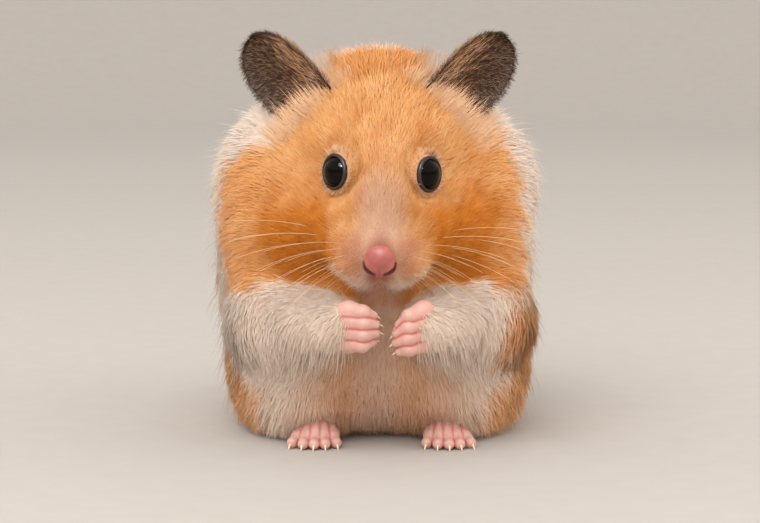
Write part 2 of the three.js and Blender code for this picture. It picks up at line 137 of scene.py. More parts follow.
def limb(a, b, ra, rb):
    """A round rod whose radius goes evenly from ra at a to rb at b."""
    step = [q - p for p, q in zip(a, b)]
    long = sum(d * d for d in step)

    def field(x, y, z):
        off = [q - p for q, p in zip((x, y, z), a)]
        t = np.clip(sum(o * d for o, d in zip(off, step)) / long, 0, 1)
        return np.sqrt(sum((o - t * d) ** 2 for o, d in zip(off, step))) - ra - t * (rb - ra)

    return field


def blend(soft, *fields):
    """Fields joined with a fillet about as wide as soft."""

    def field(x, y, z):
        near = fields[0](x, y, z)
        for other in fields[1:]:
            far = other(x, y, z)
            lap = np.maximum(soft - np.abs(near - far), 0) / soft
            near = np.minimum(near, far) - lap * lap * soft / 4
        return near

    return field


def press(soft, shape, tool):
    """A field with another one pressed into it, with a rounded edge."""

    def field(x, y, z):
        a, b = shape(x, y, z), -tool(x, y, z)
        lap = np.maximum(soft - np.abs(a - b), 0) / soft
        return np.maximum(a, b) + lap * lap * soft / 4

    return field


def placed(matrix, shape):
    """A field drawn in a frame of its own."""
    rows = np.array(matrix.inverted())[:3]

    def field(x, y, z):
        return shape(*(r[0] * x + r[1] * y + r[2] * z + r[3] for r in rows))

    return field


def both_sides(make):
    return [make(side) for side in SIDES.values()]


# ------------------------------------------------------------------ the flesh

BODY_HALF_WIDTH = 34.2
NAPE_HEIGHT = 80
RUMP_Y = 42
CHEEK_SHIFT = -1.3  # the right cheek pouch is the fuller
MID = -1.6  # the trunk's weight lies a little to the hamster's right
SHOULDER, ELBOW, WRIST = (20.4, -7, 36), (22.9, -17, 26.5), (9.6, -30.5, 27)


def eye_at(side, along=0.0):
    """A place on the line that an eye looks along, in the head's frame."""
    return mirrored(EYE_CENTRE + along * EYE_AXIS, side)


muzzle = blend(
    4,
    limb((0, 0, -3), (0, -15.0, -6.8), 9.4, 5.2),
    *both_sides(lambda s: blob((5 * s, -13, -9.5), (5.6, 6.9, 5))),
)
muzzle_sides = blend(2, *both_sides(lambda s: blob((9.6 * s, -5.5, -8.5), (6.4, 8.6, 8))))
cranium = blob((0, 9, -2.2), (16.3, 20, 12.2))
jaw_mass = blob((0, -7, -14.6), (6.2, 7.6, 4.4))
cheeks = blend(
    7,
    *both_sides(lambda s: blob((17 * s + CHEEK_SHIFT, -5.5, 51), (12.6, 14, 13.5))),
    *both_sides(lambda s: blob((17.2 * s + CHEEK_SHIFT, -7.5, 42.5), (14.2, 15, 12))),
    blob((CHEEK_SHIFT, -14, 38), (13, 12, 9.5)),
)
cheek_fronts = blend(6, *both_sides(lambda s: blob((15.5 * s - 0.6, -20.5, 44.5), (6.5, 6, 8.5))))
head_mass = blend(
    6,
    blend(7, placed(head, cranium), cheeks),
    cheek_fronts,
    placed(head, blend(4, muzzle, muzzle_sides)),
    placed(head, jaw_mass),
)
neck_mass = blend(
    10,
    blob((MID, -1, 50), (BODY_HALF_WIDTH - 4, 18, 21)),
    *both_sides(lambda s: blob((20 * s - 0.6, 1, 55), (10.5, 13, 10.5))),
    blob((0, -1, NAPE_HEIGHT - 16.4), (19.5, 17, 17)),
)
trunk_mass = blend(
    12,
    blob((MID, RUMP_Y - 31, 35), (BODY_HALF_WIDTH, 31, 30)),
    blob((MID, RUMP_Y - 24, 26), (BODY_HALF_WIDTH - 4.5, 24, 26)),
    blob((MID, 8, 48.5), (BODY_HALF_WIDTH - 5, 27, 28)),
    blob((MID / 2, -6, 20), (26, 17.5, 20)),
    *both_sides(lambda s: blob((16.2 * s - 0.6, 6, 9.2), (12, 25, 12))),
)


def foreleg(side):
    return blend(
        5,
        limb(mirrored(SHOULDER, side), mirrored(ELBOW, side), 10, 8.4),
        limb(mirrored(ELBOW, side), mirrored(WRIST, side), 8.2, 5.2),
    )


thighs = both_sides(lambda s: blob((18.2 * s - 0.6, 0, 17), (12.6, 20.5, 17.5)))
body_mass = blend(9, blend(10, neck_mass, trunk_mass, *thighs), *both_sides(foreleg))
belly_cleft = limb((0, -27, 2), (0, -24.5, 15), 2.6, 0.6)
belly_crease = limb((0, -25.5, 8), (0, -25, 25), 1.2, 0.4)
eye_dishes = placed(head, blend(1, *both_sides(lambda s: ball(eye_at(s, 8.6), 8))))
flesh = press(2.6, press(3, blend(5, body_mass, head_mass), belly_cleft), eye_dishes)


def smooth_step(value, low, high):
    t = np.clip((value - low) / (high - low), 0, 1)
    return t * t * (3 - 2 * t)


def fade(value, low, high):
    """From 1 at low, smoothly down to 0 at high."""
    return 1 - smooth_step(value, low, high)


def distance_to(place, x, y, z):
    return np.sqrt(sum((q - p) ** 2 for q, p in zip((x, y, z), place)))


def coat_depth(x, y, z):
    """How deep the coat is: least on the nose and the wrists, and deepest on the body."""
    depth = np.clip(0.5 + 0.075 * (distance_to(NOSE_TIP, x, y, z) - 6), 0.45, 3.3)
    for side in SIDES.values():
        bare = smooth_step(distance_to(mirrored(WRIST, side), x, y, z), 2, 16)
        depth = depth * (0.3 + 0.7 * bare)
    return depth


lips = both_sides(lambda s: blob((2.9 * s, -16.0, -12.0), (3.4, 3.7, 3.2)))
lip_groove = limb((0, -21.5, -9.6), (0, -18.4, -15.2), 0.45, 0.8)
mouth = blend(
    0.6,
    *both_sides(lambda s: limb((0.3 * s, -18.6, -14.8), (5.6 * s, -12.4, -13.8), 0.9, 0.6)),
)
nose_hollows = blend(
    0.5, *both_sides(lambda s: limb((4.9 * s, -20.7, -4.6), (4.3 * s, -20.5, -7.6), 1.1, 1.3))
)
lids = placed(head, blend(0.1, *both_sides(lambda s: ball(eye_at(s), EYE_RADIUS + 0.5))))


def skin_field(x, y, z):
    creased = press(4, flesh, belly_crease)
    under_coat = lambda *p: creased(*p) + coat_depth(*p)
    with_lips = blend(1.2, under_coat, *(placed(head, lip) for lip in lips))
    folded = press(2.2, with_lips, placed(head, nose_hollows))
    folded = press(0.7, press(0.5, folded, placed(head, lip_groove)), placed(head, mouth))
    lidded = press(0.4, blend(1.6, folded, lids), eye_dishes)
    return np.maximum(lidded(x, y, z), 0.3 - z)


# ------------------------------------------------------------------ meshes


def make_mesh(name, points, *faces, values=None, sheet=None, normals=None):
    """A mesh from points in the maker's frame and arrays of faces. Values are named numbers on
    its points, sheet is its OFBake map at its points, and normals turn its shading."""
    mesh = bpy.data.meshes.new(name)
    faces = [np.asarray(f, np.int32) for f in faces if len(f)]
    corners = np.concatenate([f.ravel() for f in faces])
    sizes = np.concatenate([np.full(len(f), f.shape[1]) for f in faces])
    mesh.vertices.add(len(points))
    mesh.vertices.foreach_set("co", (MM * (points + np.array(shift))).astype(np.float32).ravel())
    mesh.loops.add(len(corners))
    mesh.loops.foreach_set("vertex_index", corners)
    mesh.polygons.add(len(sizes))
    starts = np.concatenate([[0], np.cumsum(sizes)[:-1]])
    mesh.polygons.foreach_set("loop_start", starts.astype(np.int32))
    mesh.polygons.foreach_set("use_smooth", np.ones(len(sizes), bool))
    mesh.update(calc_edges=True)
    for key, value in (values or {}).items():
        attribute = mesh.attributes.new(key, "FLOAT", "POINT")
        attribute.data.foreach_set("value", value.astype(np.float32))
    if sheet is not None:
        layer = mesh.uv_layers.new(name="OFBake")
        layer.data.foreach_set("uv", sheet[corners].astype(np.float32).ravel())
    if normals is not None:
        mesh.normals_split_custom_set_from_vertices(normals)
    return mesh


def show(name, mesh, material, slot, *nodes):
    """A finished piece, riding on the animal's one body."""
    piece = bpy.data.objects.new(name, mesh)
    bpy.context.scene.collection.objects.link(piece)
    mesh.materials.clear()
    mesh.materials.append(material)
    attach(piece, "root")
    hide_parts(*nodes)


def add_piece(name, material, slot, nodes, points, *faces, **extras):
    """A piece made from what make_mesh takes, in place of these nodes."""
    show(name, make_mesh(name, points, *faces, **extras), material, slot, *nodes)


def surface_of(field, low, high, cell, thin=0.0):
    """A field's surface as points, triangles and quads, from a grid of cubic cells."""
    axes = [np.arange(a, b + cell, cell, dtype=np.float32) for a, b in zip(low, high)]
    value = field(axes[0][:, None, None], axes[1][None, :, None], axes[2][None, None, :])
    reach = 3 * cell
    grid = vdb.FloatGrid(reach)
    grid.copyFromArray(np.clip(value, -reach, reach).astype(np.float32))
    points, triangles, quads = grid.convertToPolygons(isovalue=0.0, adaptivity=thin)
    points = points * cell + np.array(low)
    a, b, c = (points[quads[:, i]] for i in range(3))
    if np.einsum("ij,ij->", a, np.cross(b, c)) < 0:  # keeps the faces outwards
        triangles, quads = triangles[:, ::-1], quads[:, ::-1]
    return points, triangles, quads


def moved(matrix, points):
    m = np.array(matrix)
    return points @ m[:3, :3].T + m[:3, 3]


def on_skull(points):
    """The same points in the head's frame."""
    return moved(head.inverted(), points)


def unit(v):
    return v / np.maximum(np.linalg.norm(v, axis=-1, keepdims=True), 1e-9)


def point_normals(points, triangles):
    a, b, c = (points[triangles[:, i]] for i in range(3))
    across = np.cross(b - a, c - a)
    total = np.zeros_like(points)
    for i in range(3):
        np.add.at(total, triangles[:, i], across)
    return unit(total)


def all_triangles(triangles, quads):
    return np.concatenate([triangles, quads[:, [0, 1, 2]], quads[:, [0, 2, 3]]])


# ------------------------------------------------------------------ materials


def colour(code):
    """A hex sRGB colour as linear light."""
    parts = (int(code[i : i + 2], 16) / 255 for i in (1, 3, 5))
    return (*(p / 12.92 if p <= 0.04045 else ((p + 0.055) / 1.055) ** 2.4 for p in parts), 1.0)


def new_material(name):
    material = bpy.data.materials.new(name)
    material.use_nodes = True
    tree = material.node_tree
    return material, tree, tree.nodes["Principled BSDF"]


def plug(tree, target, **links):
    """Sets a node's inputs. Each link is a value or another node's socket, keyed by the
    input's name, or by its number after an underscore."""
    for key, value in links.items():
        spot = target.inputs[int(key[1:]) if key[0] == "_" else key.replace("_", " ")]
        if isinstance(value, bpy.types.NodeSocket):
            tree.links.new(value, spot)
        else:
            spot.default_value = value


def node(tree, kind, settings=None, **links):
    """Adds a node. Settings go to the node itself, and links to its inputs."""
    made = tree.nodes.new(kind)
    for key, value in (settings or {}).items():
        setattr(made, key, value)
    plug(tree, made, **links)
    return made


MIX = {"data_type": "RGBA"}


def marked(tree, pale, golden, rich, pink):
    """The coat's markings, from its three colours of hair and the pink of the skin, which also
    paints shade into the creases.
    """
    gold, deep, flush_and_shade = (
        node(tree, "ShaderNodeAttribute", {"attribute_name": key}).outputs["Fac"]
        for key in ("gold", "deep", "pink")
    )
    tinted = node(tree, "ShaderNodeMix", MIX, _0=deep, _6=golden, _7=rich)
    coat = node(tree, "ShaderNodeMix", MIX, _0=gold, _6=pale, _7=tinted.outputs[2])
    flushed_and_shaded = node(tree, "ShaderNodeMix", MIX, _0=flush_and_shade, _6=coat.outputs[2], _7=pink)
    return flushed_and_shaded.outputs[2]


def fur(name, roots):
    """Fine hair keratin, dull and soft: each tuft goes from a deeper root to a paler tip, partly
    the hair's own colour and partly painted shade deep in the coat, and tufts differ a little,
    which gives the streaked look of a coat."""
    material, tree, shader = new_material(name)
    along, chance = (node(tree, "ShaderNodeAttribute", {"attribute_name": key}).outputs["Fac"]
                     for key in ("along", "chance"))
    hairs = (
        node(tree, "ShaderNodeMix", MIX, _0=chance, _6=colour(a), _7=colour(b)).outputs[2]
        for a, b in (("#e6d1bf", "#f6e6da"), ("#e3974f", "#f4c28c"), ("#bd6616", "#dd8d38"))
    )
    # Painted shade, in part: the root end of each tuft darkens towards the root colour.
    shade = node(tree, "ShaderNodeMapRange", Value=along, From_Min=0.0, From_Max=0.7,
                 To_Min=0.28, To_Max=0.0)
    rooted = node(tree, "ShaderNodeMix", MIX | {"blend_type": "MULTIPLY"}, _0=shade.outputs[0],
                  _6=marked(tree, *hairs, colour("#b5705f")), _7=colour(roots))
    plug(tree, shader, Base_Color=rooted.outputs[2], Roughness=0.6, Specular_IOR_Level=0.15)
    return material


def hide():
    """Fine down on the hide, seen only between the tufts: the coat's colours, dulled, with a
    bump like combed hair."""
    material, tree, shader = new_material("downy_hide")
    place = node(tree, "ShaderNodeTexCoord")
    grain = node(tree, "ShaderNodeTexNoise", Vector=place.outputs["Object"],
                 Scale=1 / (0.5 * MM), Detail=3.0)
    pale = node(tree, "ShaderNodeMix", MIX, _0=grain.outputs["Fac"], _6=colour("#dfc3a2"),
                _7=colour("#f2e0cb"))
    # Its pink is the darkest: painted shade where the hide lies bare in the mouth's creases.
    shade = marked(tree, pale.outputs[2], colour("#d98d44"), colour("#a9601f"), colour("#8f4a42"))
    bump = node(tree, "ShaderNodeBump", Height=grain.outputs["Fac"], Distance=0.15 * MM)
    plug(tree, shader, Base_Color=shade, Normal=bump.outputs[0], Roughness=0.75,
         Specular_IOR_Level=0.2)
    return material


def ear_down():
    """Short fine hairs, dark brown at the root, some with a pale tip: the ear's bloom."""
    material, tree, shader = new_material("fine_ear_hair")
    along, chance = (node(tree, "ShaderNodeAttribute", {"attribute_name": key}).outputs["Fac"]
                     for key in ("along", "chance"))
    paled = node(tree, "ShaderNodeMapRange", Value=chance, From_Min=0.35)
    tips = node(tree, "ShaderNodeMix", MIX, _0=paled.outputs[0], _6=colour("#28170c"),
                _7=colour("#c4a283"))
    shade = node(tree, "ShaderNodeMix", MIX, _0=along, _6=colour("#3a2214"), _7=tips.outputs[2])
    plug(tree, shader, Base_Color=shade.outputs[2], Roughness=0.55, Specular_IOR_Level=0.2)
    return material


def bare_skin(name, pale, mottled, flushed_and_shaded, mottling, size, detail, grain, bump, **finish):
    """Bare skin: mottled by this much, in patches this many mm across, and flushed where its
    mesh says, which also paints shade into its creases and nostrils, with a fine grain of this
    size and height in mm that breaks up the gloss."""
    material, tree, shader = new_material(name)
    place = node(tree, "ShaderNodeTexCoord").outputs["Object"]
    patches = node(tree, "ShaderNodeTexNoise", Vector=place, Scale=1 / (size * MM), Detail=detail)
    faint = node(tree, "ShaderNodeMapRange", Value=patches.outputs["Fac"], To_Max=mottling)
    shade = node(tree, "ShaderNodeMix", MIX, _0=faint.outputs[0], _6=colour(pale),
                 _7=colour(mottled))
    flush_and_shade = node(tree, "ShaderNodeAttribute", {"attribute_name": "flush_and_shade"})
    skin = node(tree, "ShaderNodeMix", MIX, _0=flush_and_shade.outputs["Fac"], _6=shade.outputs[2],
                _7=colour(flushed_and_shaded))
    pores = node(tree, "ShaderNodeTexNoise", Vector=place, Scale=1 / (grain * MM), Detail=4.0)
    raised = node(tree, "ShaderNodeBump", Height=pores.outputs["Fac"], Distance=bump * MM)
    plug(tree, shader, Base_Color=skin.outputs[2], Normal=raised.outputs[0], **finish)
    return material


def plain_finish(name, dark, light, size=0.8, detail=3.0, **finish):
    """A finish with little of its own but a faint mottle this many mm across and its gloss."""
    material, tree, shader = new_material(name)
    place = node(tree, "ShaderNodeTexCoord")
    mottle = node(tree, "ShaderNodeTexNoise", Vector=place.outputs["Object"],
                  Scale=1 / (size * MM), Detail=detail)
    shade = node(tree, "ShaderNodeMix", MIX, _0=mottle.outputs["Fac"], _6=colour(dark),
                 _7=colour(light))
    plug(tree, shader, Base_Color=shade.outputs[2], **finish)
    return material


golden_fur = fur("golden_hair", "#c98a4e")
white_fur = fur("cream_white_hair", "#d0ad8c")
downy_hide = hide()
ear_hair = ear_down()

# The skin of the paws and the nose is soft, moist and slightly translucent, and redder in its
# creases, partly its own colour and partly painted shade; the nostrils are painted dark as
# their shade. The ears' is thin, matt and dark brown, and warmer towards the canal.
MOIST = {"mottling": 0.45, "size": 1.6, "detail": 3.0, "bump": 0.06, "Subsurface_Weight": 0.25,
         "Subsurface_Radius": (0.8 * MM, 0.3 * MM, 0.2 * MM), "Subsurface_Scale": 1.0}
paw_skin = bare_skin("pink_paw_skin", "#d9b3a8", "#bd5a4e", "#bd5a4e", grain=0.35,
                     Roughness=0.55, **MOIST)
nose_leather = bare_skin("moist_nose_leather", "#c06c64", "#561c1b", "#561c1b", grain=0.3,
                         Roughness=0.5, **MOIST)
ear_skin = bare_skin("thin_ear_skin", "#2e190e", "#56361f", "#7a4422", mottling=1.0, size=1.2,
                     detail=4.0, grain=0.3, bump=0.08, Roughness=0.6, Specular_IOR_Level=0.2)

wet_eye = plain_finish("wet_cornea", "#030202", "#0a0504", Roughness=0.05,
                       Specular_IOR_Level=0.13)  # dims the coat it mirrors
lid_skin = plain_finish("dark_lid_skin", "#1d1311", "#3a2822", Roughness=0.45)
claw_horn = plain_finish("pale_claw_horn", "#e6cba9", "#f3e0c6", Roughness=0.35)
whisker_hair = plain_finish("stiff_pale_whisker", "#d9b585", "#f0d8b4", Roughness=0.35)
matt_paper = plain_finish("matt_studio_paper", "#b8b3af", "#bfbab5", size=6, detail=2.0,
                          Roughness=0.9)

# ------------------------------------------------------------------ markings


def swells(points, size, seed, waves):
    """The ways of some random waves about this many mm long, and their phases at the points."""
    own = np.random.default_rng(seed)
    ways = unit(own.normal(size=(waves, 3))) * (2 * math.pi / size)
    ways = ways * own.uniform(0.7, 1.4, (waves, 1))
    return ways, points @ ways.T + own.uniform(0, 2 * math.pi, waves)


def ripple(points, size, seed, waves=7):
    """A smooth random field from about -1 to 1, with swells about this many mm apart."""
    _, phases = swells(points, size, seed, waves)
    return np.sin(phases).sum(1) / math.sqrt(waves)


def ripple_slope(points, size, seed, waves=9):
    """The slope of such a field, at unit strength: tufts that follow it gather into locks."""
    ways, phases = swells(points, size, seed, waves)
    return np.cos(phases) @ unit(ways) / math.sqrt(waves)


def markings(points):
    """How golden, how deep in colour, and how pink the coat is at these points, the pink also
    holding painted shade in the creases.
    """
    ragged = points + 0.8 * ripple(points, 5, 11)[:, None] + 0.4 * ripple(points, 2, 12)[:, None]
    x, y, z = ragged.T
    wide = np.abs(x - CHEEK_SHIFT)
    local = on_skull(points)
    clear_of_arms = smooth_step(blend(2, *both_sides(foreleg))(*points.T), 0.5, 4)

    # The golden face ends at the chin, behind the cheeks and below the shoulders' white.
    edge = np.interp(wide, (10, 22), (-3.5, -8.5))
    edge = edge - np.where(x > 0, 4.8, 0.0) * smooth_step(wide, 23, 28)
    beside_ear = np.where(x < 0, 17.6, 21.5)  # where the white behind each cheek begins
    shoulder = np.where(x < 0, 58.6, 61.2) + 0.12 * (28.8 - wide)
    shoulder = shoulder + 30 * fade(wide - beside_ear, -1.2, 1.2)
    chin = 33.8 - 3.4 * fade(wide, 9, 24) * clear_of_arms
    face = smooth_step(z - chin, -1.1, 1.1) * smooth_step(edge - y, -1.4, 1.4)
    face = face * smooth_step(shoulder - z, -1.2, 1.2) * (1 - 0.3 * smooth_step(wide, 24, 32))

    # A golden mantle covers the back, and gold spreads over each haunch. On the belly the tan is
    # partly the coat's cream and partly painted warm bounce light and shade.
    band = np.interp(z, (0, 15, 45, 90), (-2, 0, 14, 14))
    back = smooth_step(y, band - 1.5, band + 1.5)
    reach = np.where(x > 0, wide + 6 + 0.3 * (14 - z), wide + 6)
    haunch = 0.85 * smooth_step(reach, 25, 31) * smooth_step(z, 2, 6)
    haunch = haunch * smooth_step(np.where(x > 0, 36, 25) - z, 0, 6)  # more on the left one
    haunch = haunch * np.maximum(clear_of_arms, smooth_step(x, 22, 26))
    # Partly the coat's cream, partly painted warm bounce light and shade.
    belly_tan_bounce_and_shade = 0.65 * fade(np.abs(x), 6, 24) * fade(z, 27, 37)
    belly_tan_bounce_and_shade = belly_tan_bounce_and_shade * (0.2 + 0.8 * clear_of_arms)
    tan = 0.07 * fade(z, 54, 58)
    gold = np.maximum.reduce([face, back, haunch, belly_tan_bounce_and_shade, tan])

    # It pales around the nose, the eyes, the lips and the bridge of the nose.
    off_nose = distance_to((0, -16.5, -8.5), *local.T)
    gold = gold * (1 - 0.22 * fade(off_nose, 5.0, 11.0))
    for side in SIDES.values():
        off = distance_to(eye_at(side), *local.T)
        gold = gold * (1 - 0.5 * fade(off, 3.9, 4.2))
        lip = distance_to((3.2 * side, -17.0, -13.0), *local.T)
        gold = gold * (1 - 0.9 * fade(lip, 2.2, 4.2))
    bridge = fade(np.abs(local[:, 0]), 2.0, 6.0) * smooth_step(-local[:, 1], 4, 11)
    gold = gold * (1 - 0.4 * bridge)

    # It is deepest on the cheeks, under the eyes, on the crown and at one spot, and on the
    # throat, where the deeper colour is painted shade under the head.
    cheek = 0.3 * smooth_step(56 - points[:, 2], -4, 12)
    for side in SIDES.values():
        glow = np.hypot(points[:, 0] - 14.5 * side, 0.8 * (points[:, 2] - 43.5))
        glow = 0.75 * fade(glow, 3, 11) * smooth_step(-y, 0, 6)
        cheek = cheek + glow * smooth_step(np.abs(local[:, 0]), 8, 11)
    crown = smooth_step(points[:, 2], 68, 78) * 0.45
    spot = distance_to((1.0, 4.5, 9.5), *local.T)
    spot = 0.9 * fade(spot, 0.6, 2.6)
    # Painted shade under the chin.
    throat_shade = 0.25 * fade(z, 33, 40) * fade(wide, 12, 22)
    patchy = 0.14 * ripple(points, 7, 14) + 0.14 * ripple(points, 14, 15)
    deep = 0.12 - 0.1 * bridge + cheek + crown + spot + throat_shade + patchy

    # The skin's pink shows through above the nose and on the whisker pads. In the mouth's creases
    # and the hollows beside the nose, the same pink is painted shade.
    up_nose = local - np.array((0, -19.5, -6.5))
    up_nose = np.linalg.norm(up_nose * np.array((1.5, 0.62, 0.75)), axis=1)
    pink = 0.8 * fade(up_nose, 1.8, 5.6) + 0.22 * bridge
    for side in SIDES.values():
        pad = distance_to((5.6 * side, -17.2, -5.0), *local.T)
        pink = pink + 0.5 * fade(pad, 0.8, 4.6)
    # Painted shade: the mouth's creases and the hollows beside the nose are pinker and darker.
    creases = blend(0.1, lip_groove, mouth)(*local.T)
    pink = np.maximum(pink, fade(creases, 0.2, 0.9))
    pink = np.maximum(pink, 0.6 * fade(nose_hollows(*local.T), 0.0, 2.2))
    return {"gold": gold, "deep": np.clip(deep, 0, 1), "pink": np.clip(pink, 0, 0.95)}


# ------------------------------------------------------------------ skin

skin_points, skin_triangles, skin_quads = surface_of(
    skin_field, (-38, -42, -1), (38, 44, 86), cell=0.5, thin=0.02
)
FLESH = ["head", "jaw", "neck", "trunk"] + [
    f"{leg}_{side}" for leg in ("foreleg", "hind_leg") for side in SIDES
]
add_piece("skin", downy_hide, "golden_fur", FLESH, skin_points, skin_triangles, skin_quads,
          values=markings(skin_points))

# ------------------------------------------------------------------ eyes and lids


def ring_surface(rings, closed_ends=True):
    """Points and quads of a tube through rings of points, with its ends drawn together."""
    rows, count = rings.shape[:2]
    i, j = np.meshgrid(np.arange(rows - 1), np.arange(count), indexing="ij")
    here, beside = i * count + j, i * count + (j + 1) % count
    quads = np.stack([here, beside, beside + count, here + count], -1).reshape(-1, 4)
    points = rings.reshape(-1, 3)
    if not closed_ends:
        return points, quads, np.zeros((0, 3), int)
    first, last = len(points), len(points) + 1
    points = np.concatenate([points, rings[:1].mean(1), rings[-1:].mean(1)])
    j = np.arange(count)
    after = (j + 1) % count
    top = (rows - 1) * count
    caps = np.concatenate(
        [np.stack([after, j, np.full(count, first)], -1),
         np.stack([top + j, top + after, np.full(count, last)], -1)]
    )
    return points, quads, caps


def frame_about(axis):
    """Two directions square to an axis."""
    axis = np.array(axis, float)
    side = unit(np.cross(axis, (0.3, 0.2, 1.0)))
    return side, np.cross(axis, side)


def outwards(points, quads, caps):
    """The same faces, turned if need be to face out of a closed mesh."""
    tris = np.concatenate([quads[:, [0, 1, 2]], quads[:, [0, 2, 3]], caps])
    a, b, c = (points[tris[:, i]] - points.mean(0) for i in range(3))
    if np.einsum("ij,ij->", a, np.cross(b, c)) < 0:
        return quads[:, ::-1], caps[:, ::-1]
    return quads, caps


LID_OPENING = math.radians(60)
LID_GAP, LID_THICKNESS, LID_HEIGHT = 0.22, 0.34, 0.42
turn = np.linspace(0, 2 * math.pi, 64, endpoint=False)
for name, side in SIDES.items():
    centre = np.array(on_head(*eye_at(side)))
    axis = np.array(head.to_3x3() @ mirrored(EYE_AXIS, side))
    u, v = frame_about(axis)
    circle = np.cos(turn)[:, None] * u + np.sin(turn)[:, None] * v
    polar = np.linspace(0.03, math.pi - 0.03, 40)
    bulge = 1 + 0.02 * np.exp(-((polar / 0.6) ** 2))  # the cornea stands a little proud
    rings = centre + EYE_RADIUS * bulge[:, None, None] * (
        np.cos(polar)[:, None, None] * axis + np.sin(polar)[:, None, None] * circle
    )
    points, quads, caps = ring_surface(rings)
    add_piece(f"eye_{name}", wet_eye, "eye", [f"eye_{name}"], points,
              *outwards(points, quads, caps))

    # The lid's rim is a thin roll of dark skin around the opening.
    around = np.linspace(0, 2 * math.pi, 10, endpoint=False)
    spoke = math.cos(LID_OPENING) * axis + math.sin(LID_OPENING) * circle
    along = -math.sin(LID_OPENING) * axis + math.cos(LID_OPENING) * circle
    rolls = [
        centre + (EYE_RADIUS + LID_GAP + LID_THICKNESS * math.cos(a)) * spoke
        + LID_HEIGHT * math.sin(a) * along
        for a in around
    ]
    loop = np.stack(rolls, 1)  # one ring of points at each place around the eye
    loop = np.concatenate([loop, loop[:1]])
    points, quads, _ = ring_surface(loop, closed_ends=False)
    count = len(turn) * len(around)
    quads = quads % count
    points = points[:count]
    add_piece(f"lid_{name}", lid_skin, "nose_skin", [], points,
              *outwards(points, quads, np.zeros((0, 3), int)))

# ------------------------------------------------------------------ nose

nose_pad = blend(
    1.2,
    blob((0, -18.3, -5.4), (2.9, 2.6, 2.5)),
    blob((0, -18.9, -7.7), (2.8, 2.2, 2.3)),
    *both_sides(lambda s: blob((2.1 * s, -18.7, -7.2), (1.3, 1.8, 1.5))),
)
nostrils = blend(
    0.3,
    *both_sides(lambda s: limb((1.2 * s, -20.7, -8.1), (2.5 * s, -20.2, -7.4), 0.3, 0.46)),
    *both_sides(lambda s: limb((2.5 * s, -20.2, -7.4), (3.0 * s, -19.4, -6.5), 0.42, 0.25)),
)
nose_groove = limb((0, -21.4, -5.5), (0, -21.3, -9.4), 0.1, 0.3)
nose_field = press(0.5, press(0.5, nose_pad, nostrils), nose_groove)
points, triangles, quads = surface_of(nose_field, (-5, -23, -11), (5, -15, -2), cell=0.12)
# Painted shade: the nostrils are darkened to near black, and the groove down the nose a little.
flush_and_shade = np.clip(1.1 - nostrils(*points.T) / 0.5, 0, 1)
flush_and_shade = np.maximum(flush_and_shade, 0.4 * np.clip(1.0 - nose_groove(*points.T) / 0.4, 0, 1))
add_piece("nose", nose_leather, "nose_skin", ["nose"], moved(head, points), triangles, quads,
          values={"flush_and_shade": flush_and_shade})

# ------------------------------------------------------------------ ears

EAR_LENGTH, EAR_THICKNESS = 20.4, 1.2
EAR_OUTER_WIDTH, EAR_INNER_WIDTH = 9.6, 8.8  # from its middle line to each margin
EAR_ROOT, EAR_MID = (14.3, -14.1, 68.9), -0.6
EAR_TURN, EAR_SPLAY = 22.6, 46  # degrees
EAR_ROWS, EAR_COLUMNS = 44, 52


def ear_stance(side):
    root = Vector((EAR_MID + EAR_ROOT[0] * side, *EAR_ROOT[1:]))
    turned = Matrix.Rotation(math.radians(EAR_TURN * side), 4, "Z")
    return Matrix.Translation(root) @ turned @ Matrix.Rotation(
        math.radians(EAR_SPLAY * side), 4, "Y")


def ear_point(side, s, t, back):
    """A place on the ear: s from its root to its tip, t across it, back through it."""
    outer, inner = EAR_OUTER_WIDTH * (0.69 + 0.31 * s), EAR_INNER_WIDTH * (0.78 + 0.22 * s)
    width = np.where(t > 0, outer, inner) * np.sqrt(1 - s**2.5)
    cup = (3.6 - 2.2 * s) * (1 - t * t) + 0.8 * (1 - s) * np.abs(t)
    ribs = 0.22 * np.sin(9 * t + 1.5 * s) * (1 - t * t) * (1 - s)
    thick = EAR_THICKNESS * (1.15 - 0.35 * s)
    y = cup + ribs + back * thick + 2 * s * s
    return np.stack([side * width * t * (1 - 0.08 * t * t), y, EAR_LENGTH * s + 0 * t], -1)


for name, side in SIDES.items():
    s = 0.9997 * np.sin(np.linspace(0, math.pi / 2, EAR_ROWS)) ** 1.15
    t = -np.cos(np.linspace(0, math.pi, EAR_COLUMNS))
    s, t = s[:, None], t[None, :]
    edge = np.sqrt(np.clip(1 - t**2, 0, 1)) ** 0.5
    front = ear_point(side, s, t, 0.5 - 0.22 * edge)
    back = ear_point(side, s, t, 0.5 + 0.22 * edge)
    loop = np.concatenate([front, back[:, -2:0:-1]], 1)
    points, quads, caps = ring_surface(loop)
    root_warmth = np.clip(1.2 - points[:, 2] / 9, 0, 1) * np.exp(-((points[:, 0] / 4) ** 2))
    points = moved(ear_stance(side), points)
    add_piece(f"ear_{name}", ear_skin, "ear_skin", [f"ear_{name}"], points,
              *outwards(points, quads, caps), values={"flush_and_shade": root_warmth})

# ------------------------------------------------------------------ paws, feet, tail and claws

PAW_MIDDLE = {LEFT: (6.2, -32.4, 27), RIGHT: (-4.4, -32.4, 27)}
FORE_LONG = (0.84, 1, 1, 0.8)
HIND_LONG = (0.74, 0.95, 1, 0.95, 0.7)
HIND_REACH = 5.2
FOOT_OUT, TOES_FROM = 13.5, -18.4  # X of each hind foot and Y of its toes' roots


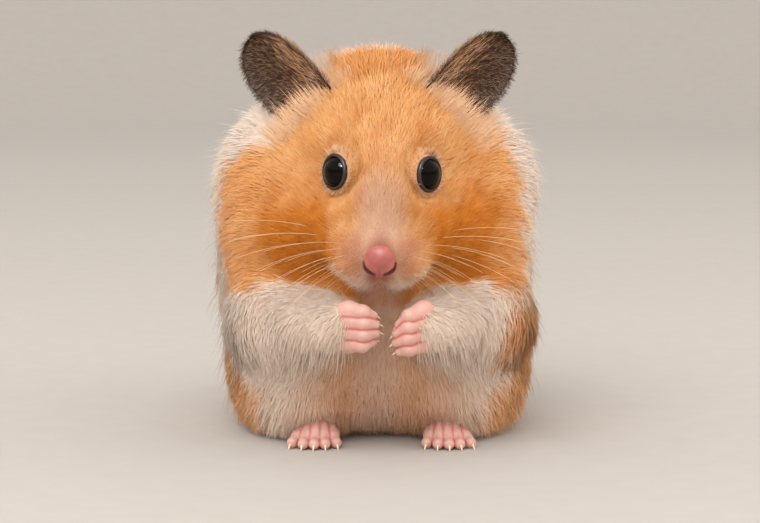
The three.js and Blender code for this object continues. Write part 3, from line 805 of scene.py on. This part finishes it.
def foredigit(side, k):
    """Knuckle, middle and tip of a digit of the forepaw, from the top one down."""
    px, py, pz = PAW_MIDDLE[side]
    droop = 2.2 if side == LEFT else 0.3
    rise, long = 3.6 - 2.3 * k, FORE_LONG[k]
    return [
        Vector((px + 2 * side, py - 0.6, pz + rise)),
        Vector((px - 0.8 * side * long, py - 2.7 * long, pz + 0.95 * rise - 0.4 * droop)),
        Vector((px - 3.3 * side * long, py - 1.5 * long, pz + 0.78 * rise - droop)),
    ]


def forepaw(side):
    px, py, pz = PAW_MIDDLE[side]
    digits = []
    for k in range(4):
        knuckle, bend, tip = foredigit(side, k)
        digits.append(blend(0.8, limb(knuckle, bend, 1.5, 1.42), limb(bend, tip, 1.4, 0.88)))
    palm = blob((px + 1.8 * side, py + 1.2, pz), (2.8, 2.6, 4.6))
    hand_back = blob((px + 2.4 * side, py - 0.3, pz), (3.0, 2.3, 5.0))
    wrist = limb((px + 3 * side, py + 1.5, pz), mirrored(WRIST, side), 3, 3.2)
    return digits, blend(1.6, palm, hand_back, wrist)


def hind_digit(side, k):
    toe = k - 2
    root = Vector((side * (FOOT_OUT + 1.6 * toe), TOES_FROM, 2.0))
    tip = Vector((side * (13.8 + 2.25 * toe), TOES_FROM - HIND_REACH * HIND_LONG[k], 1.2))
    return [root, (root + tip) / 2 + Vector((0, 0, 0.35)), tip]


def hind_foot(side):
    digits = []
    for k in range(5):
        root, bend, tip = hind_digit(side, k)
        toe = blend(0.5, limb(root, bend, 1.3, 1.1), limb(bend, tip, 1.1, 0.95), ball(tip, 1.05))
        digits.append(toe)
    heel, ball_of_foot = (12.5 * side, -4, 2.2), (FOOT_OUT * side, -17.6, 2.1)
    pad = blob((FOOT_OUT * side, -17, 2), (4.6, 4, 2.6))
    sole = blend(2, limb(heel, ball_of_foot, 3, 3.6), pad)
    return digits, sole


def closeness(digits, points):
    """How near points are to the crease between two neighbouring digits."""
    near = np.sort(np.stack([d(*points.T) for d in digits]), 0)
    return np.clip(1 - (near[1] - near[0]) / 0.5, 0, 1)


def member(name, digits, rest, low, high, joints, floor=False):
    """A paw or a foot, pinker at its joints and darker red between its digits, partly the skin's
    own colour and partly painted shade in the creases.
    """
    whole = blend(1.5, blend(0.35, *digits), rest)
    field = (lambda x, y, z: np.maximum(whole(x, y, z), -z)) if floor else whole
    points, triangles, quads = surface_of(field, low, high, cell=0.2 if floor else 0.16)
    bends = np.min([np.abs(points - np.array(j)).sum(1) for j in joints], 0)
    # Painted shade, in part: the creases between the digits go darker red.
    flush_and_shade = np.clip(0.95 * closeness(digits, points) + 0.1 * np.exp(-((bends / 0.9) ** 2)), 0, 1)
    add_piece(name, paw_skin, "pink_skin", [name], points, triangles, quads,
              values={"flush_and_shade": flush_and_shade})


for name, side in SIDES.items():
    digits, rest = forepaw(side)
    px = PAW_MIDDLE[side][0]
    joints = [j for k in range(4) for j in foredigit(side, k)[:2]]
    member(f"forepaw_{name}", digits, rest, (px - 7.5, -42, 18), (px + 9, -25, 35), joints)
    digits, rest = hind_foot(side)
    low, high = (FOOT_OUT * side - 8.5, -28, -0.6), (FOOT_OUT * side + 8.5, 1, 7)
    joints = [hind_digit(side, k)[1] for k in range(5)]
    member(f"hind_foot_{name}", digits, rest, low, high, joints, floor=True)


def curved_claw(tip, way, length, radius, sag):
    """A claw that starts inside its digit and curves down to a point."""
    way = np.array(way.normalized())
    t = np.linspace(0, 1, 9)
    spine = np.array(tip) - 0.4 * way + (length + 0.4) * t[:, None] * way
    spine[:, 2] -= sag * t**2
    spine[:, 2] += sag * 0.6 * np.sin(math.pi * t)
    u, v = frame_about(way)
    ring = np.linspace(0, 2 * math.pi, 12, endpoint=False)
    disc = np.cos(ring)[:, None] * u + np.sin(ring)[:, None] * v
    sizes = radius * (1 - t) ** 0.7 + 0.03
    return ring_surface(spine[:, None, :] + sizes[:, None, None] * disc)


for name, side in SIDES.items():
    for prefix, count, digit, size in (
        ("foreclaw", 4, foredigit, (1.7, 0.36, 0.35)),
        ("hindclaw", 5, hind_digit, (2.2, 0.42, 0.5)),
    ):
        for k in range(count):
            _, bend, tip = digit(side, k)
            points, quads, caps = curved_claw(tip, tip - bend, *size)
            label = f"{prefix}_{name}_{k + 1}"
            add_piece(label, claw_horn, "claw", [label], points, *outwards(points, quads, caps))

tail_tip = (0, RUMP_Y + 5, 4.6)
tail_field = blend(0.5, limb((0, RUMP_Y - 6, 8.5), tail_tip, 2.6, 1.3), ball(tail_tip, 1.4))
points, triangles, quads = surface_of(tail_field, (-5, 32, 0), (5, 50, 14), cell=0.25)
rings = 0.5 + 0.5 * np.sin(points[:, 1] * 4.2)
add_piece("tail", paw_skin, "pink_skin", ["tail"], points, triangles, quads,
          values={"flush_and_shade": 0.5 * rings})

# ------------------------------------------------------------------ coat

ROOT_DEPTH = 0.25  # how far each tuft starts inside the skin
OVER_FLOOR = 0.15  # the least height of any tuft


def tufts(roots, way, rise, length, width, normals, sway=0.0, rings=1):
    """Thin closed tufts, three-sided and pointed. Each leaves its root along its normal and
    bends over to lie along its way, with its tip that far out from where it starts."""
    count = len(roots)
    t = (np.arange(rings) + 1.0) / (rings + 1)
    width = np.broadcast_to(width, count)

    def spine(at):
        up_by = rise * (1 - (1 - at) ** 1.7)
        along_by = length * at ** 1.15
        return (roots - ROOT_DEPTH * normals + along_by[:, None] * way
                + up_by[:, None] * normals + at**2 * sway)

    across = unit(np.cross(normals, way))
    parts = [(roots - ROOT_DEPTH * normals)[:, None]]
    for at in t:
        centre = spine(np.array(at))
        half = 0.5 * width * (1 - 0.45 * (at - 0.4) ** 2 * 2)
        corner = [(across * math.cos(a) + normals * math.sin(a)) * half[:, None]
                  for a in (math.pi / 6, 5 * math.pi / 6, 3 * math.pi / 2)]
        parts.append(centre[:, None] + np.stack(corner, 1))
    parts.append(spine(np.array(1.0))[:, None])
    points = np.concatenate(parts, 1)
    per = points.shape[1]
    faces = []
    for i in range(3):
        j = (i + 1) % 3
        faces.append((0, 1 + j, 1 + i))
        for r in range(rings - 1):
            a = 1 + 3 * r
            faces += [(a + i, a + j, a + 3 + i), (a + j, a + 3 + j, a + 3 + i)]
        last = 1 + 3 * (rings - 1)
        faces.append((last + i, last + j, per - 1))
    points[..., 2] = np.maximum(points[..., 2], OVER_FLOOR)
    along = np.concatenate([[0], np.repeat(t, 3), [1]])
    return points, np.array(faces), along


def sheet_of(points):
    """Each skin point's place on an unwrap of the skin: the sphere around the body's middle,
    opened out as an eight-sided solid on to a square."""
    away = points - np.array((MID, 4.0, 38.0))
    away = away / np.abs(away).sum(1, keepdims=True)
    x, y, z = away.T
    folded = np.where(y[:, None] > 0, away[:, [0, 2]],
                      (1 - np.abs(away[:, [2, 0]])) * np.where(away[:, [0, 2]] >= 0, 1, -1))
    return 0.5 + 0.49 * folded


PATCH = 0.003  # the size of each tuft's own spot on that unwrap


def coat_piece(name, material, slot, points, faces, along, roots, marks, chance, normals):
    """Joins tufts into one piece, with the markings and the chance that each has at its root."""
    count, per = points.shape[:2]
    faces = (np.arange(count) * per)[:, None, None] + faces[None]
    around = np.concatenate([[0.5], np.tile((0.0, 0.5, 1.0), (per - 2) // 3), [0.5]])
    spot = PATCH * (np.stack([around, along], -1) - 0.5)
    sheet = (sheet_of(roots)[:, None] + spot[None]).reshape(-1, 2)
    values = {key: np.repeat(value, per) for key, value in (marks | {"chance": chance}).items()}
    values["along"] = np.tile(along, count)
    add_piece(name, material, slot, [], points.reshape(-1, 3), faces.reshape(-1, 3),
              values=values, sheet=sheet, normals=np.repeat(normals, per, axis=0))


def sprinkle(points, triangles, density, count):
    """Roots and normals spread over a surface, as thickly as density says for each triangle."""
    corners = points[triangles]
    across = np.cross(corners[:, 1] - corners[:, 0], corners[:, 2] - corners[:, 0])
    weight = np.cumsum(np.linalg.norm(across, axis=1) * density)
    spots = (np.arange(count) + rng.random(count)) / count * weight[-1]
    picks = triangles[np.minimum(np.searchsorted(weight, spots), len(triangles) - 1)]
    a, b = rng.random((2, count))
    a, b = np.where(a + b > 1, 1 - a, a), np.where(a + b > 1, 1 - b, b)
    mixing = np.stack([1 - a - b, a, b], -1)[..., None]
    normals = point_normals(points, triangles)
    return (points[picks] * mixing).sum(1), unit((normals[picks] * mixing).sum(1))


def level(way, normals):
    """The part of a direction that lies along the skin."""
    return way - (way * normals).sum(1, keepdims=True) * normals


def eye_distance(points):
    return np.min([distance_to(on_head(*eye_at(s)), *points.T) for s in SIDES.values()], 0)


def wrist_distance(points):
    return np.min([distance_to(mirrored(WRIST, s), *points.T) for s in SIDES.values()], 0)


def on_arms(points):
    """How far points belong to the forelegs."""
    near = fade(blend(2, *both_sides(foreleg))(*points.T), -0.4, 2.0)
    return near * smooth_step(37 - points[:, 2], 0, 5)


def hair_length(points):
    """Shortest beside the nose, the eyes and the paws, and longest on the body."""
    reach = distance_to(NOSE_TIP, *points.T)
    length = np.clip(0.8 + 0.11 * (reach - 4), 0.8, 5.0) + 4.2 * smooth_step(reach, 30, 54)
    length = length * (0.4 + 0.6 * smooth_step(eye_distance(points), 4.5, 10))
    arm = on_arms(points)
    return length * (1 - arm) + arm * (3.4 + 2.6 * smooth_step(wrist_distance(points), 4, 14))


def ear_places(points, side):
    """Points in an ear's own frame: across it, behind its hollow, and up from its root."""
    return moved(ear_stance(side).inverted(), points)


def lie(points, normals):
    """The way the coat lies: away from the nose, then down, round the eyes, and along each
    foreleg to its paw."""
    away = unit(points - NOSE_TIP)
    reach = distance_to(NOSE_TIP, *points.T)
    way = away + 0.8 * smooth_step(reach, 24, 44)[:, None] * np.array((0, 0, -1.0))
    for side in SIDES.values():
        near = fade(foreleg(side)(*points.T), -4, 0.5)
        near = near * smooth_step(40 - points[:, 2], 0, 8)
        wrist, elbow = (np.array(mirrored(place, side)) for place in (WRIST, ELBOW))
        to_paw = unit(wrist + (0, 0, -5) - elbow)
        way = way * (1 - near[:, None]) + near[:, None] * (to_paw + (0, 0, -0.45))
        from_eye = points - np.array(on_head(*eye_at(side)))
        gap = np.linalg.norm(from_eye, axis=1)
        near = fade(gap, 4.0, 7.5)
        way = way + 1.8 * near[:, None] * unit(level(from_eye, normals))
    return unit(level(way, normals))


def near_ear(points):
    """How near points are to the root of an ear's hollow, and the way up that ear."""
    best, ways = np.zeros(len(points)), np.zeros_like(points)
    for side in SIDES.values():
        x, y, z = ear_places(points, side).T
        near = fade(np.abs(x), 8.5, 12.5) * fade(np.abs(y - 1), 2.5, 6.5)
        near = near * smooth_step(z, -5, -2) * fade(z, 4, 7)
        ways[near > best] = ear_stance(side).to_3x3() @ Vector((-0.15 * side, -0.12, 1))
        best = np.maximum(best, near)
    return best, ways


TUFTS, WIDER = ((205000, 1.0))
triangles = all_triangles(skin_triangles, skin_quads)
middles = skin_points[triangles].mean(1)
bald = (
    (distance_to(NOSE_TIP, *middles.T) < 2.4)
    | (eye_distance(middles) < EYE_RADIUS + 0.3)
    | (middles[:, 2] < 0.5)
    # The lip groove and the mouth stay bare, so the hide's dark pink paints their shade.
    | (placed(head, blend(0.1, lip_groove, mouth))(*middles.T) < 0.35)
)
density = np.where(bald, 0, hair_length(middles) ** -0.9) * np.where(middles[:, 1] > 8, 0.7, 1.0)
roots, normals = sprinkle(skin_points, triangles, density, TUFTS)
way = lie(roots, normals)
way = unit(way + 0.2 * rng.normal(size=(TUFTS, 1)) * np.cross(way, normals))
long = hair_length(roots) * rng.uniform(0.7, 1.2, TUFTS)
rise = coat_depth(*roots.T) * rng.uniform(0.45, 1.0, TUFTS) * (1 + 0.1 * ripple(roots, 6, 31))
by_ear, up_ear = near_ear(roots)
stand = by_ear * rng.uniform(0.2, 0.8, TUFTS)
way = unit(way * (1 - stand[:, None]) + up_ear * stand[:, None]
           + 0.16 * by_ear[:, None] * rng.normal(size=(TUFTS, 3)))
long = long * (1 - by_ear) + by_ear * rng.uniform(2.4, 6.2, TUFTS)
width = (0.07 + 0.018 * long) * (1 - 0.3 * by_ear) * WIDER
sway = level(ripple_slope(roots, 4.2, 21), normals) * (0.1 * long)[:, None]
points, faces, along = tufts(roots, way, rise, long, width, normals, sway)
marks = markings(roots)
marks["gold"] = marks["gold"] * (1 - 0.35 * by_ear)
marks["deep"] = marks["deep"] * (1 - by_ear)
chance = np.clip(rng.random(TUFTS) * 0.5 + 0.25 + 0.16 * ripple(roots, 2.6, 41), 0, 1)

golden = marks["gold"] > 0.5
MOST = 30000  # tufts in one piece
for label, chosen, material, slot in (
    ("golden_coat", golden, golden_fur, "golden_fur"),
    ("white_coat", ~golden, white_fur, "white_fur"),
):
    order = np.flatnonzero(chosen)
    order = order[np.argsort(distance_to(NOSE_TIP, *roots[order].T), kind="stable")]
    for number, chunk in enumerate(np.array_split(order, math.ceil(len(order) / MOST))):
        coat_piece(f"{label}_{number + 1}", material, slot, points[chunk], faces, along,
                   roots[chunk], {key: value[chunk] for key, value in marks.items()},
                   chance[chunk], normals[chunk])


def extra_tufts(name, roots, normals, way, long, rise, width, marks, rings=2,
                material=white_fur, slot="white_fur"):
    """A piece of longer or finer hair, laid tuft by tuft over the coat. Where its length or its
    rise is a pair, each tuft has its own from that range."""
    long, rise = (rng.uniform(*given, len(roots)) if isinstance(given, tuple) else given
                  for given in (long, rise))
    laid = tufts(roots, way, rise, long, width, normals, rings=rings)
    coat_piece(name, material, slot, *laid, roots, marks, rng.random(len(roots)), normals)


# Guard hairs stand a little out of the coat, fewest on the face, and fringe its outline.
GUARD_HAIRS = 8000
sparse = np.where(bald, 0, 0.15 + smooth_step(distance_to(NOSE_TIP, *middles.T), 24, 46))
roots, normals = sprinkle(skin_points, triangles, sparse, GUARD_HAIRS)
way = unit(lie(roots, normals) + 0.13 * rng.normal(size=(GUARD_HAIRS, 3)))
long = hair_length(roots) * rng.uniform(1.1, 1.5, GUARD_HAIRS)
rise = coat_depth(*roots.T) * rng.uniform(0.8, 1.15, GUARD_HAIRS)
rise = rise * (1 - 0.45 * smooth_step(roots[:, 2], 62, 74))
marks = markings(roots)
marks["gold"] = 0.85 * marks["gold"]
extra_tufts("guard_hairs", roots, normals, way, long, rise,
            0.055 + 0.03 * rng.random(GUARD_HAIRS), marks)

# Cream tufts stand up beside each ear's inner corner, long hair fringes each forearm, and the
# belly's hair hangs over each hind foot.
BESIDE_EAR, FRINGE, OVER_FOOT = 1200, 600, 1500
for name, side in SIDES.items():
    wide, height = side * (middles[:, 0] - EAR_MID), middles[:, 2]
    corner = smooth_step(wide, 7.5, 11) * fade(wide, 12.5, 14.5) * (height > 72)
    corner = corner * (np.abs(middles[:, 1] + 4) < 7)
    roots, normals = sprinkle(skin_points, triangles, corner, BESIDE_EAR)
    way = unit(np.array((0.22 * side, -0.1, 1.0)) + 0.16 * rng.normal(size=(BESIDE_EAR, 3)))
    inner = fade(side * (roots[:, 0] - EAR_MID), 8.5, 11)
    gold = np.clip(rng.uniform(-0.4, 0.4, BESIDE_EAR) + 0.8 * inner, 0, 1)
    marks = {"gold": gold, "deep": 0.3 * inner, "pink": np.full(BESIDE_EAR, 0.05)}
    extra_tufts(f"ear_corner_{name}", roots, normals, way, (3.6, 6.4), (0.3, 0.8), 0.12, marks)

    arm = foreleg(side)(*middles.T)
    under = (arm < 1.5) & (middles[:, 2] < 27) & (middles[:, 1] < -16) & (middles[:, 0] * side > 6)
    roots, normals = sprinkle(skin_points, triangles, under.astype(float), FRINGE)
    way = unit(lie(roots, normals) * 0.6 + (0, -0.05, -0.8) + 0.14 * rng.normal(size=(FRINGE, 3)))
    marks = {key: 0.3 * value for key, value in markings(roots).items()}
    extra_tufts(f"forearm_fringe_{name}", roots, normals, way, (3, 8), (0.6, 2.2), 0.065, marks)

    wide = np.abs(middles[:, 0] - FOOT_OUT * side)
    above = (wide < 6.5) & (middles[:, 1] < -12) & (middles[:, 2] > 3) & (middles[:, 2] < 8)
    roots, normals = sprinkle(skin_points, triangles, above.astype(float), OVER_FOOT)
    way = unit(np.array((0, -0.55, -0.6)) + 0.2 * rng.normal(size=(OVER_FOOT, 3)))
    extra_tufts(f"foot_fringe_{name}", roots, normals, way, (2.5, 5.0), (0.3, 1.2), 0.1,
                markings(roots), rings=1)

# Fine pale hair fluffs out the lips and hangs from the lower edge of the muzzle.
FLUFF = 1800
x, y, z = on_skull(middles).T
lip_side = (np.abs(x) < 9.5) & (y < -9) & (z < -8.5) & (z > -14.6) & ~bald
roots, normals = sprinkle(skin_points, triangles, lip_side.astype(float), FLUFF)
local = on_skull(roots)
way = local * (0.02, 0, 0) + np.sign(local) * (0.7, 0, 0) + (0, -0.2, -0.75)
way = way @ np.array(head.to_3x3()).T
way = unit(level(way, normals) + 0.22 * rng.normal(size=(FLUFF, 3)))
marks = markings(roots)
marks["gold"] = 0.55 * marks["gold"]
extra_tufts("muzzle_fluff", roots, normals, way, (1.0, 2.4), (0.5, 1.1), 0.085, marks, rings=1)

# The hollow of each ear is lined with fine hair that runs out to its outer rim, and its inner
# margin carries longer, paler hair that runs up to the tip.
LINING, MARGIN = 6500, 520
for name, side in SIDES.items():
    mesh = bpy.data.objects[f"ear_{name}"].data
    places = np.empty(len(mesh.vertices) * 3, np.float32)
    mesh.vertices.foreach_get("co", places)
    places = places.reshape(-1, 3) / MM - np.array(shift)
    mesh.calc_loop_triangles()
    ear_triangles = np.empty(len(mesh.loop_triangles) * 3, np.int32)
    mesh.loop_triangles.foreach_get("vertices", ear_triangles)
    ear_triangles = ear_triangles.reshape(-1, 3)
    up_ear = np.array(ear_stance(side).to_3x3() @ Vector((0, 0, 1)))
    outer = np.array(ear_stance(side).to_3x3() @ Vector((side, 0, 0)))
    middles_ear = ear_places(places[ear_triangles].mean(1), side)
    roots, normals = sprinkle(places, ear_triangles, middles_ear[:, 2] > 1, LINING)
    x, y, z = ear_places(roots, side).T
    outward = np.clip(0.35 + 0.12 * side * x, -0.4, 1.0)[:, None]
    way = unit(level(outer * outward + up_ear * (1.05 - np.abs(outward)), normals)
               + 0.18 * rng.normal(size=(LINING, 3)))
    marks = {key: np.zeros(LINING) for key in ("gold", "deep", "pink")}
    extra_tufts(f"ear_lining_{name}", roots, normals, way, (0.7, 1.6), (0.38, 0.62), 0.085,
                marks, rings=1, material=ear_hair, slot="ear_skin")

    inner = smooth_step(-side * middles_ear[:, 0], 0.5, 5) * smooth_step(middles_ear[:, 2], 0, 2)
    inner = inner * fade(middles_ear[:, 2], 12, 17) * (middles_ear[:, 1] < 4.5)
    roots, normals = sprinkle(places, ear_triangles, inner, MARGIN)
    way = unit(level(up_ear - 0.1 * outer, normals) + 0.14 * rng.normal(size=(MARGIN, 3)))
    reach = ear_places(roots, side)[:, 2]
    long = rng.uniform(2.0, 4.2, MARGIN) * (1 - 0.02 * reach)
    marks = {"gold": rng.uniform(0.4, 1.0, MARGIN), "deep": rng.uniform(0, 1, MARGIN),
             "pink": np.zeros(MARGIN)}
    extra_tufts(f"ear_margin_{name}", roots, normals, way, long, (0.6, 1.3), 0.075, marks,
                rings=1)

# ------------------------------------------------------------------ whiskers

WHISKER_THICKNESS, WHISKER_DROOP = 0.0017, 0.16  # of its span
WHISKER_ROWS, WHISKERS_IN_ROW, BRISTLES = 5, 5, 3


def whisker_tree():
    """One bent, tapered whisker on each point, turned to its aim and sized to its span."""
    tree = bpy.data.node_groups.new("whiskers", "GeometryNodeTree")
    sockets = {}
    for label in ("Geometry", "Thickness", "Droop", "Material"):
        kind = "NodeSocketFloat" if label in ("Thickness", "Droop") else f"NodeSocket{label}"
        sockets[label] = tree.interface.new_socket(label, in_out="INPUT", socket_type=kind)
    tree.interface.new_socket("Geometry", in_out="OUTPUT", socket_type="NodeSocketGeometry")
    given = node(tree, "NodeGroupInput").outputs
    fall = node(tree, "ShaderNodeMath", {"operation": "MULTIPLY"}, _0=given["Droop"], _1=-1.0)
    end = node(tree, "ShaderNodeCombineXYZ", Y=fall.outputs[0], Z=0.97)
    bend = node(tree, "GeometryNodeCurveQuadraticBezier", Resolution=14, Start=(0, 0, 0),
                Middle=(0, 0.02, 0.5), End=end.outputs[0])
    along = node(tree, "GeometryNodeSplineParameter")
    taper = node(tree, "ShaderNodeMapRange", Value=along.outputs["Factor"], To_Min=1.0,
                 To_Max=0.12)
    thin = node(tree, "GeometryNodeSetCurveRadius", Curve=bend.outputs[0],
                Radius=taper.outputs[0])
    ring = node(tree, "GeometryNodeCurvePrimitiveCircle", Resolution=6,
                Radius=given["Thickness"])
    tube = node(tree, "GeometryNodeCurveToMesh", Curve=thin.outputs[0],
                Profile_Curve=ring.outputs[0], Fill_Caps=True)
    aim = node(tree, "GeometryNodeInputNamedAttribute", {"data_type": "FLOAT_VECTOR"}, Name="aim")
    span = node(tree, "GeometryNodeInputNamedAttribute", {"data_type": "FLOAT"}, Name="span")
    turned = node(tree, "FunctionNodeAlignRotationToVector", {"axis": "Z"},
                  Vector=aim.outputs[0])
    upright = node(tree, "FunctionNodeAlignRotationToVector", {"axis": "Y", "pivot_axis": "Z"},
                   Rotation=turned.outputs[0], Vector=(0, 0, 1))
    spots = node(tree, "GeometryNodeMeshToPoints", Mesh=given["Geometry"])
    spread_out = node(tree, "GeometryNodeInstanceOnPoints", Points=spots.outputs[0],
                      Instance=tube.outputs[0], Rotation=upright.outputs[0],
                      Scale=span.outputs[0])
    real = node(tree, "GeometryNodeRealizeInstances", Geometry=spread_out.outputs[0])
    done = node(tree, "GeometryNodeSetMaterial", Geometry=real.outputs[0],
                Material=given["Material"])
    node(tree, "NodeGroupOutput", Geometry=done.outputs[0])
    return tree, sockets


def whiskers():
    """Rows of long whiskers on the sides of the muzzle, and a few bristles over each eye."""
    starts, aims, spans = [], [], []
    for side in SIDES.values():
        for row in range(WHISKER_ROWS):
            for place in range(WHISKERS_IN_ROW):
                lift = 0.75 - 0.42 * row + rng.uniform(-0.08, 0.08)
                start = (side * (4.6 + 1.25 * place), -17.0 + 1.35 * place, -6.2 - 1.35 * row)
                aim = Vector((side, -0.2 + 0.15 * place, -0.42 + lift * 0.5))
                starts.append(on_head(*start))
                aims.append(head.to_3x3() @ aim.normalized())
                spans.append(rng.uniform(11, 17) + 2.6 * place - 1.2 * abs(row - 2))
        for k in range(BRISTLES):
            starts.append(on_head(side * (6.2 + 0.9 * k), 2.2, 5.6))
            aims.append(head.to_3x3() @ Vector((side * (0.5 + 0.2 * k), 0.1, 1)).normalized())
            spans.append(rng.uniform(7, 10))
    mesh = bpy.data.meshes.new("whisker_roots")
    points = [MM * (Vector(p) + shift) for p in starts]
    mesh.from_pydata(points, [], [])
    mesh.attributes.new("aim", "FLOAT_VECTOR", "POINT").data.foreach_set(
        "vector", np.array(aims, np.float32).ravel())
    mesh.attributes.new("span", "FLOAT", "POINT").data.foreach_set(
        "value", MM * np.array(spans, np.float32))
    base = bpy.data.objects.new("whisker_roots", mesh)
    bpy.context.scene.collection.objects.link(base)
    tree, sockets = whisker_tree()
    modifier = base.modifiers.new("whiskers", "NODES")
    modifier.node_group = tree
    modifier[sockets["Material"].identifier] = whisker_hair
    modifier[sockets["Thickness"].identifier] = WHISKER_THICKNESS
    modifier[sockets["Droop"].identifier] = WHISKER_DROOP
    evaluated = base.evaluated_get(bpy.context.evaluated_depsgraph_get())
    plain = bpy.data.meshes.new_from_object(evaluated)
    bpy.data.objects.remove(base)
    plain.name = "whiskers"
    show("whiskers", plain, whisker_hair, "white_fur")


whiskers()

# ------------------------------------------------------------------ floor, light


def studio_bowl():
    """A round sheet of pale paper that curves up all round, so that every view has the same
    plain ground."""
    bend, corner, wall = 0.8, 0.35, 0.05  # metres
    arc = np.linspace(0, math.pi / 2, 9)
    outline = [(0.05, 0.0), (0.4, 0.0)]
    outline += [(bend + corner * math.sin(a), corner * (1 - math.cos(a))) for a in arc]
    outline.append((bend + corner, corner + wall))
    turn = np.linspace(0, 2 * math.pi, 96, endpoint=False)
    rings = [[(r * math.cos(a), r * math.sin(a), z) for a in turn] for r, z in outline]
    points, quads, caps = ring_surface(np.array(rings))
    middle = caps[: len(turn)]
    return make_mesh("floor", points / MM - np.array(shift), quads, middle)


floor = bpy.data.objects.new("floor", studio_bowl())
floor.data.materials.append(matt_paper)
bpy.context.scene.collection.objects.link(floor)

# Each square light has its place, its aim, its width in metres, its power in watts and its tint.
# Those that glint show in the eyes and the wet skin, and light nothing else.
LIGHTS = (
    ("key", (-0.22, -0.55, 0.76), (0, 0, 0.04), 0.7, 4.4, (1, 0.965, 0.92), False),
    ("fill", (-0.05, -0.68, 0.1), (0, 0, 0.03), 0.4, 1.2, (1, 0.93, 0.84), False),
    ("right_side", (-0.68, -0.08, 0.18), (0, 0, 0.03), 0.5, 1.3, (1, 0.94, 0.89), False),
    ("left_side", (0.68, -0.08, 0.18), (0, 0, 0.03), 0.5, 2.2, (1, 0.94, 0.89), False),
    ("window", (-0.08, -0.42, 0.58), (0, 0, 0.05), 0.24, 4.0, (0.92, 0.96, 1), True),
    ("catch", (-0.02, -0.5, 0.5), (0, 0, 0.05), 0.1, 3.0, (1, 1, 1), True),
)
for name, place, aim, size, power, tint, glints in LIGHTS:
    light = bpy.data.lights.new(name, "AREA")
    light.shape, light.size, light.energy, light.color = "SQUARE", size, power, tint
    lamp = bpy.data.objects.new(name, light)
    lamp.location = place
    lamp.visible_glossy, lamp.visible_diffuse = glints, not glints
    lamp.rotation_euler = (Vector(aim) - Vector(place)).to_track_quat("-Z", "Y").to_euler()
    bpy.context.scene.collection.objects.link(lamp)

world = bpy.data.worlds.new("soft_daylight")
world.use_nodes = True
world.node_tree.nodes["Background"].inputs["Color"].default_value = (1.0, 0.955, 0.9, 1)
world.node_tree.nodes["Background"].inputs["Strength"].default_value = 1.0
bpy.context.scene.world = world
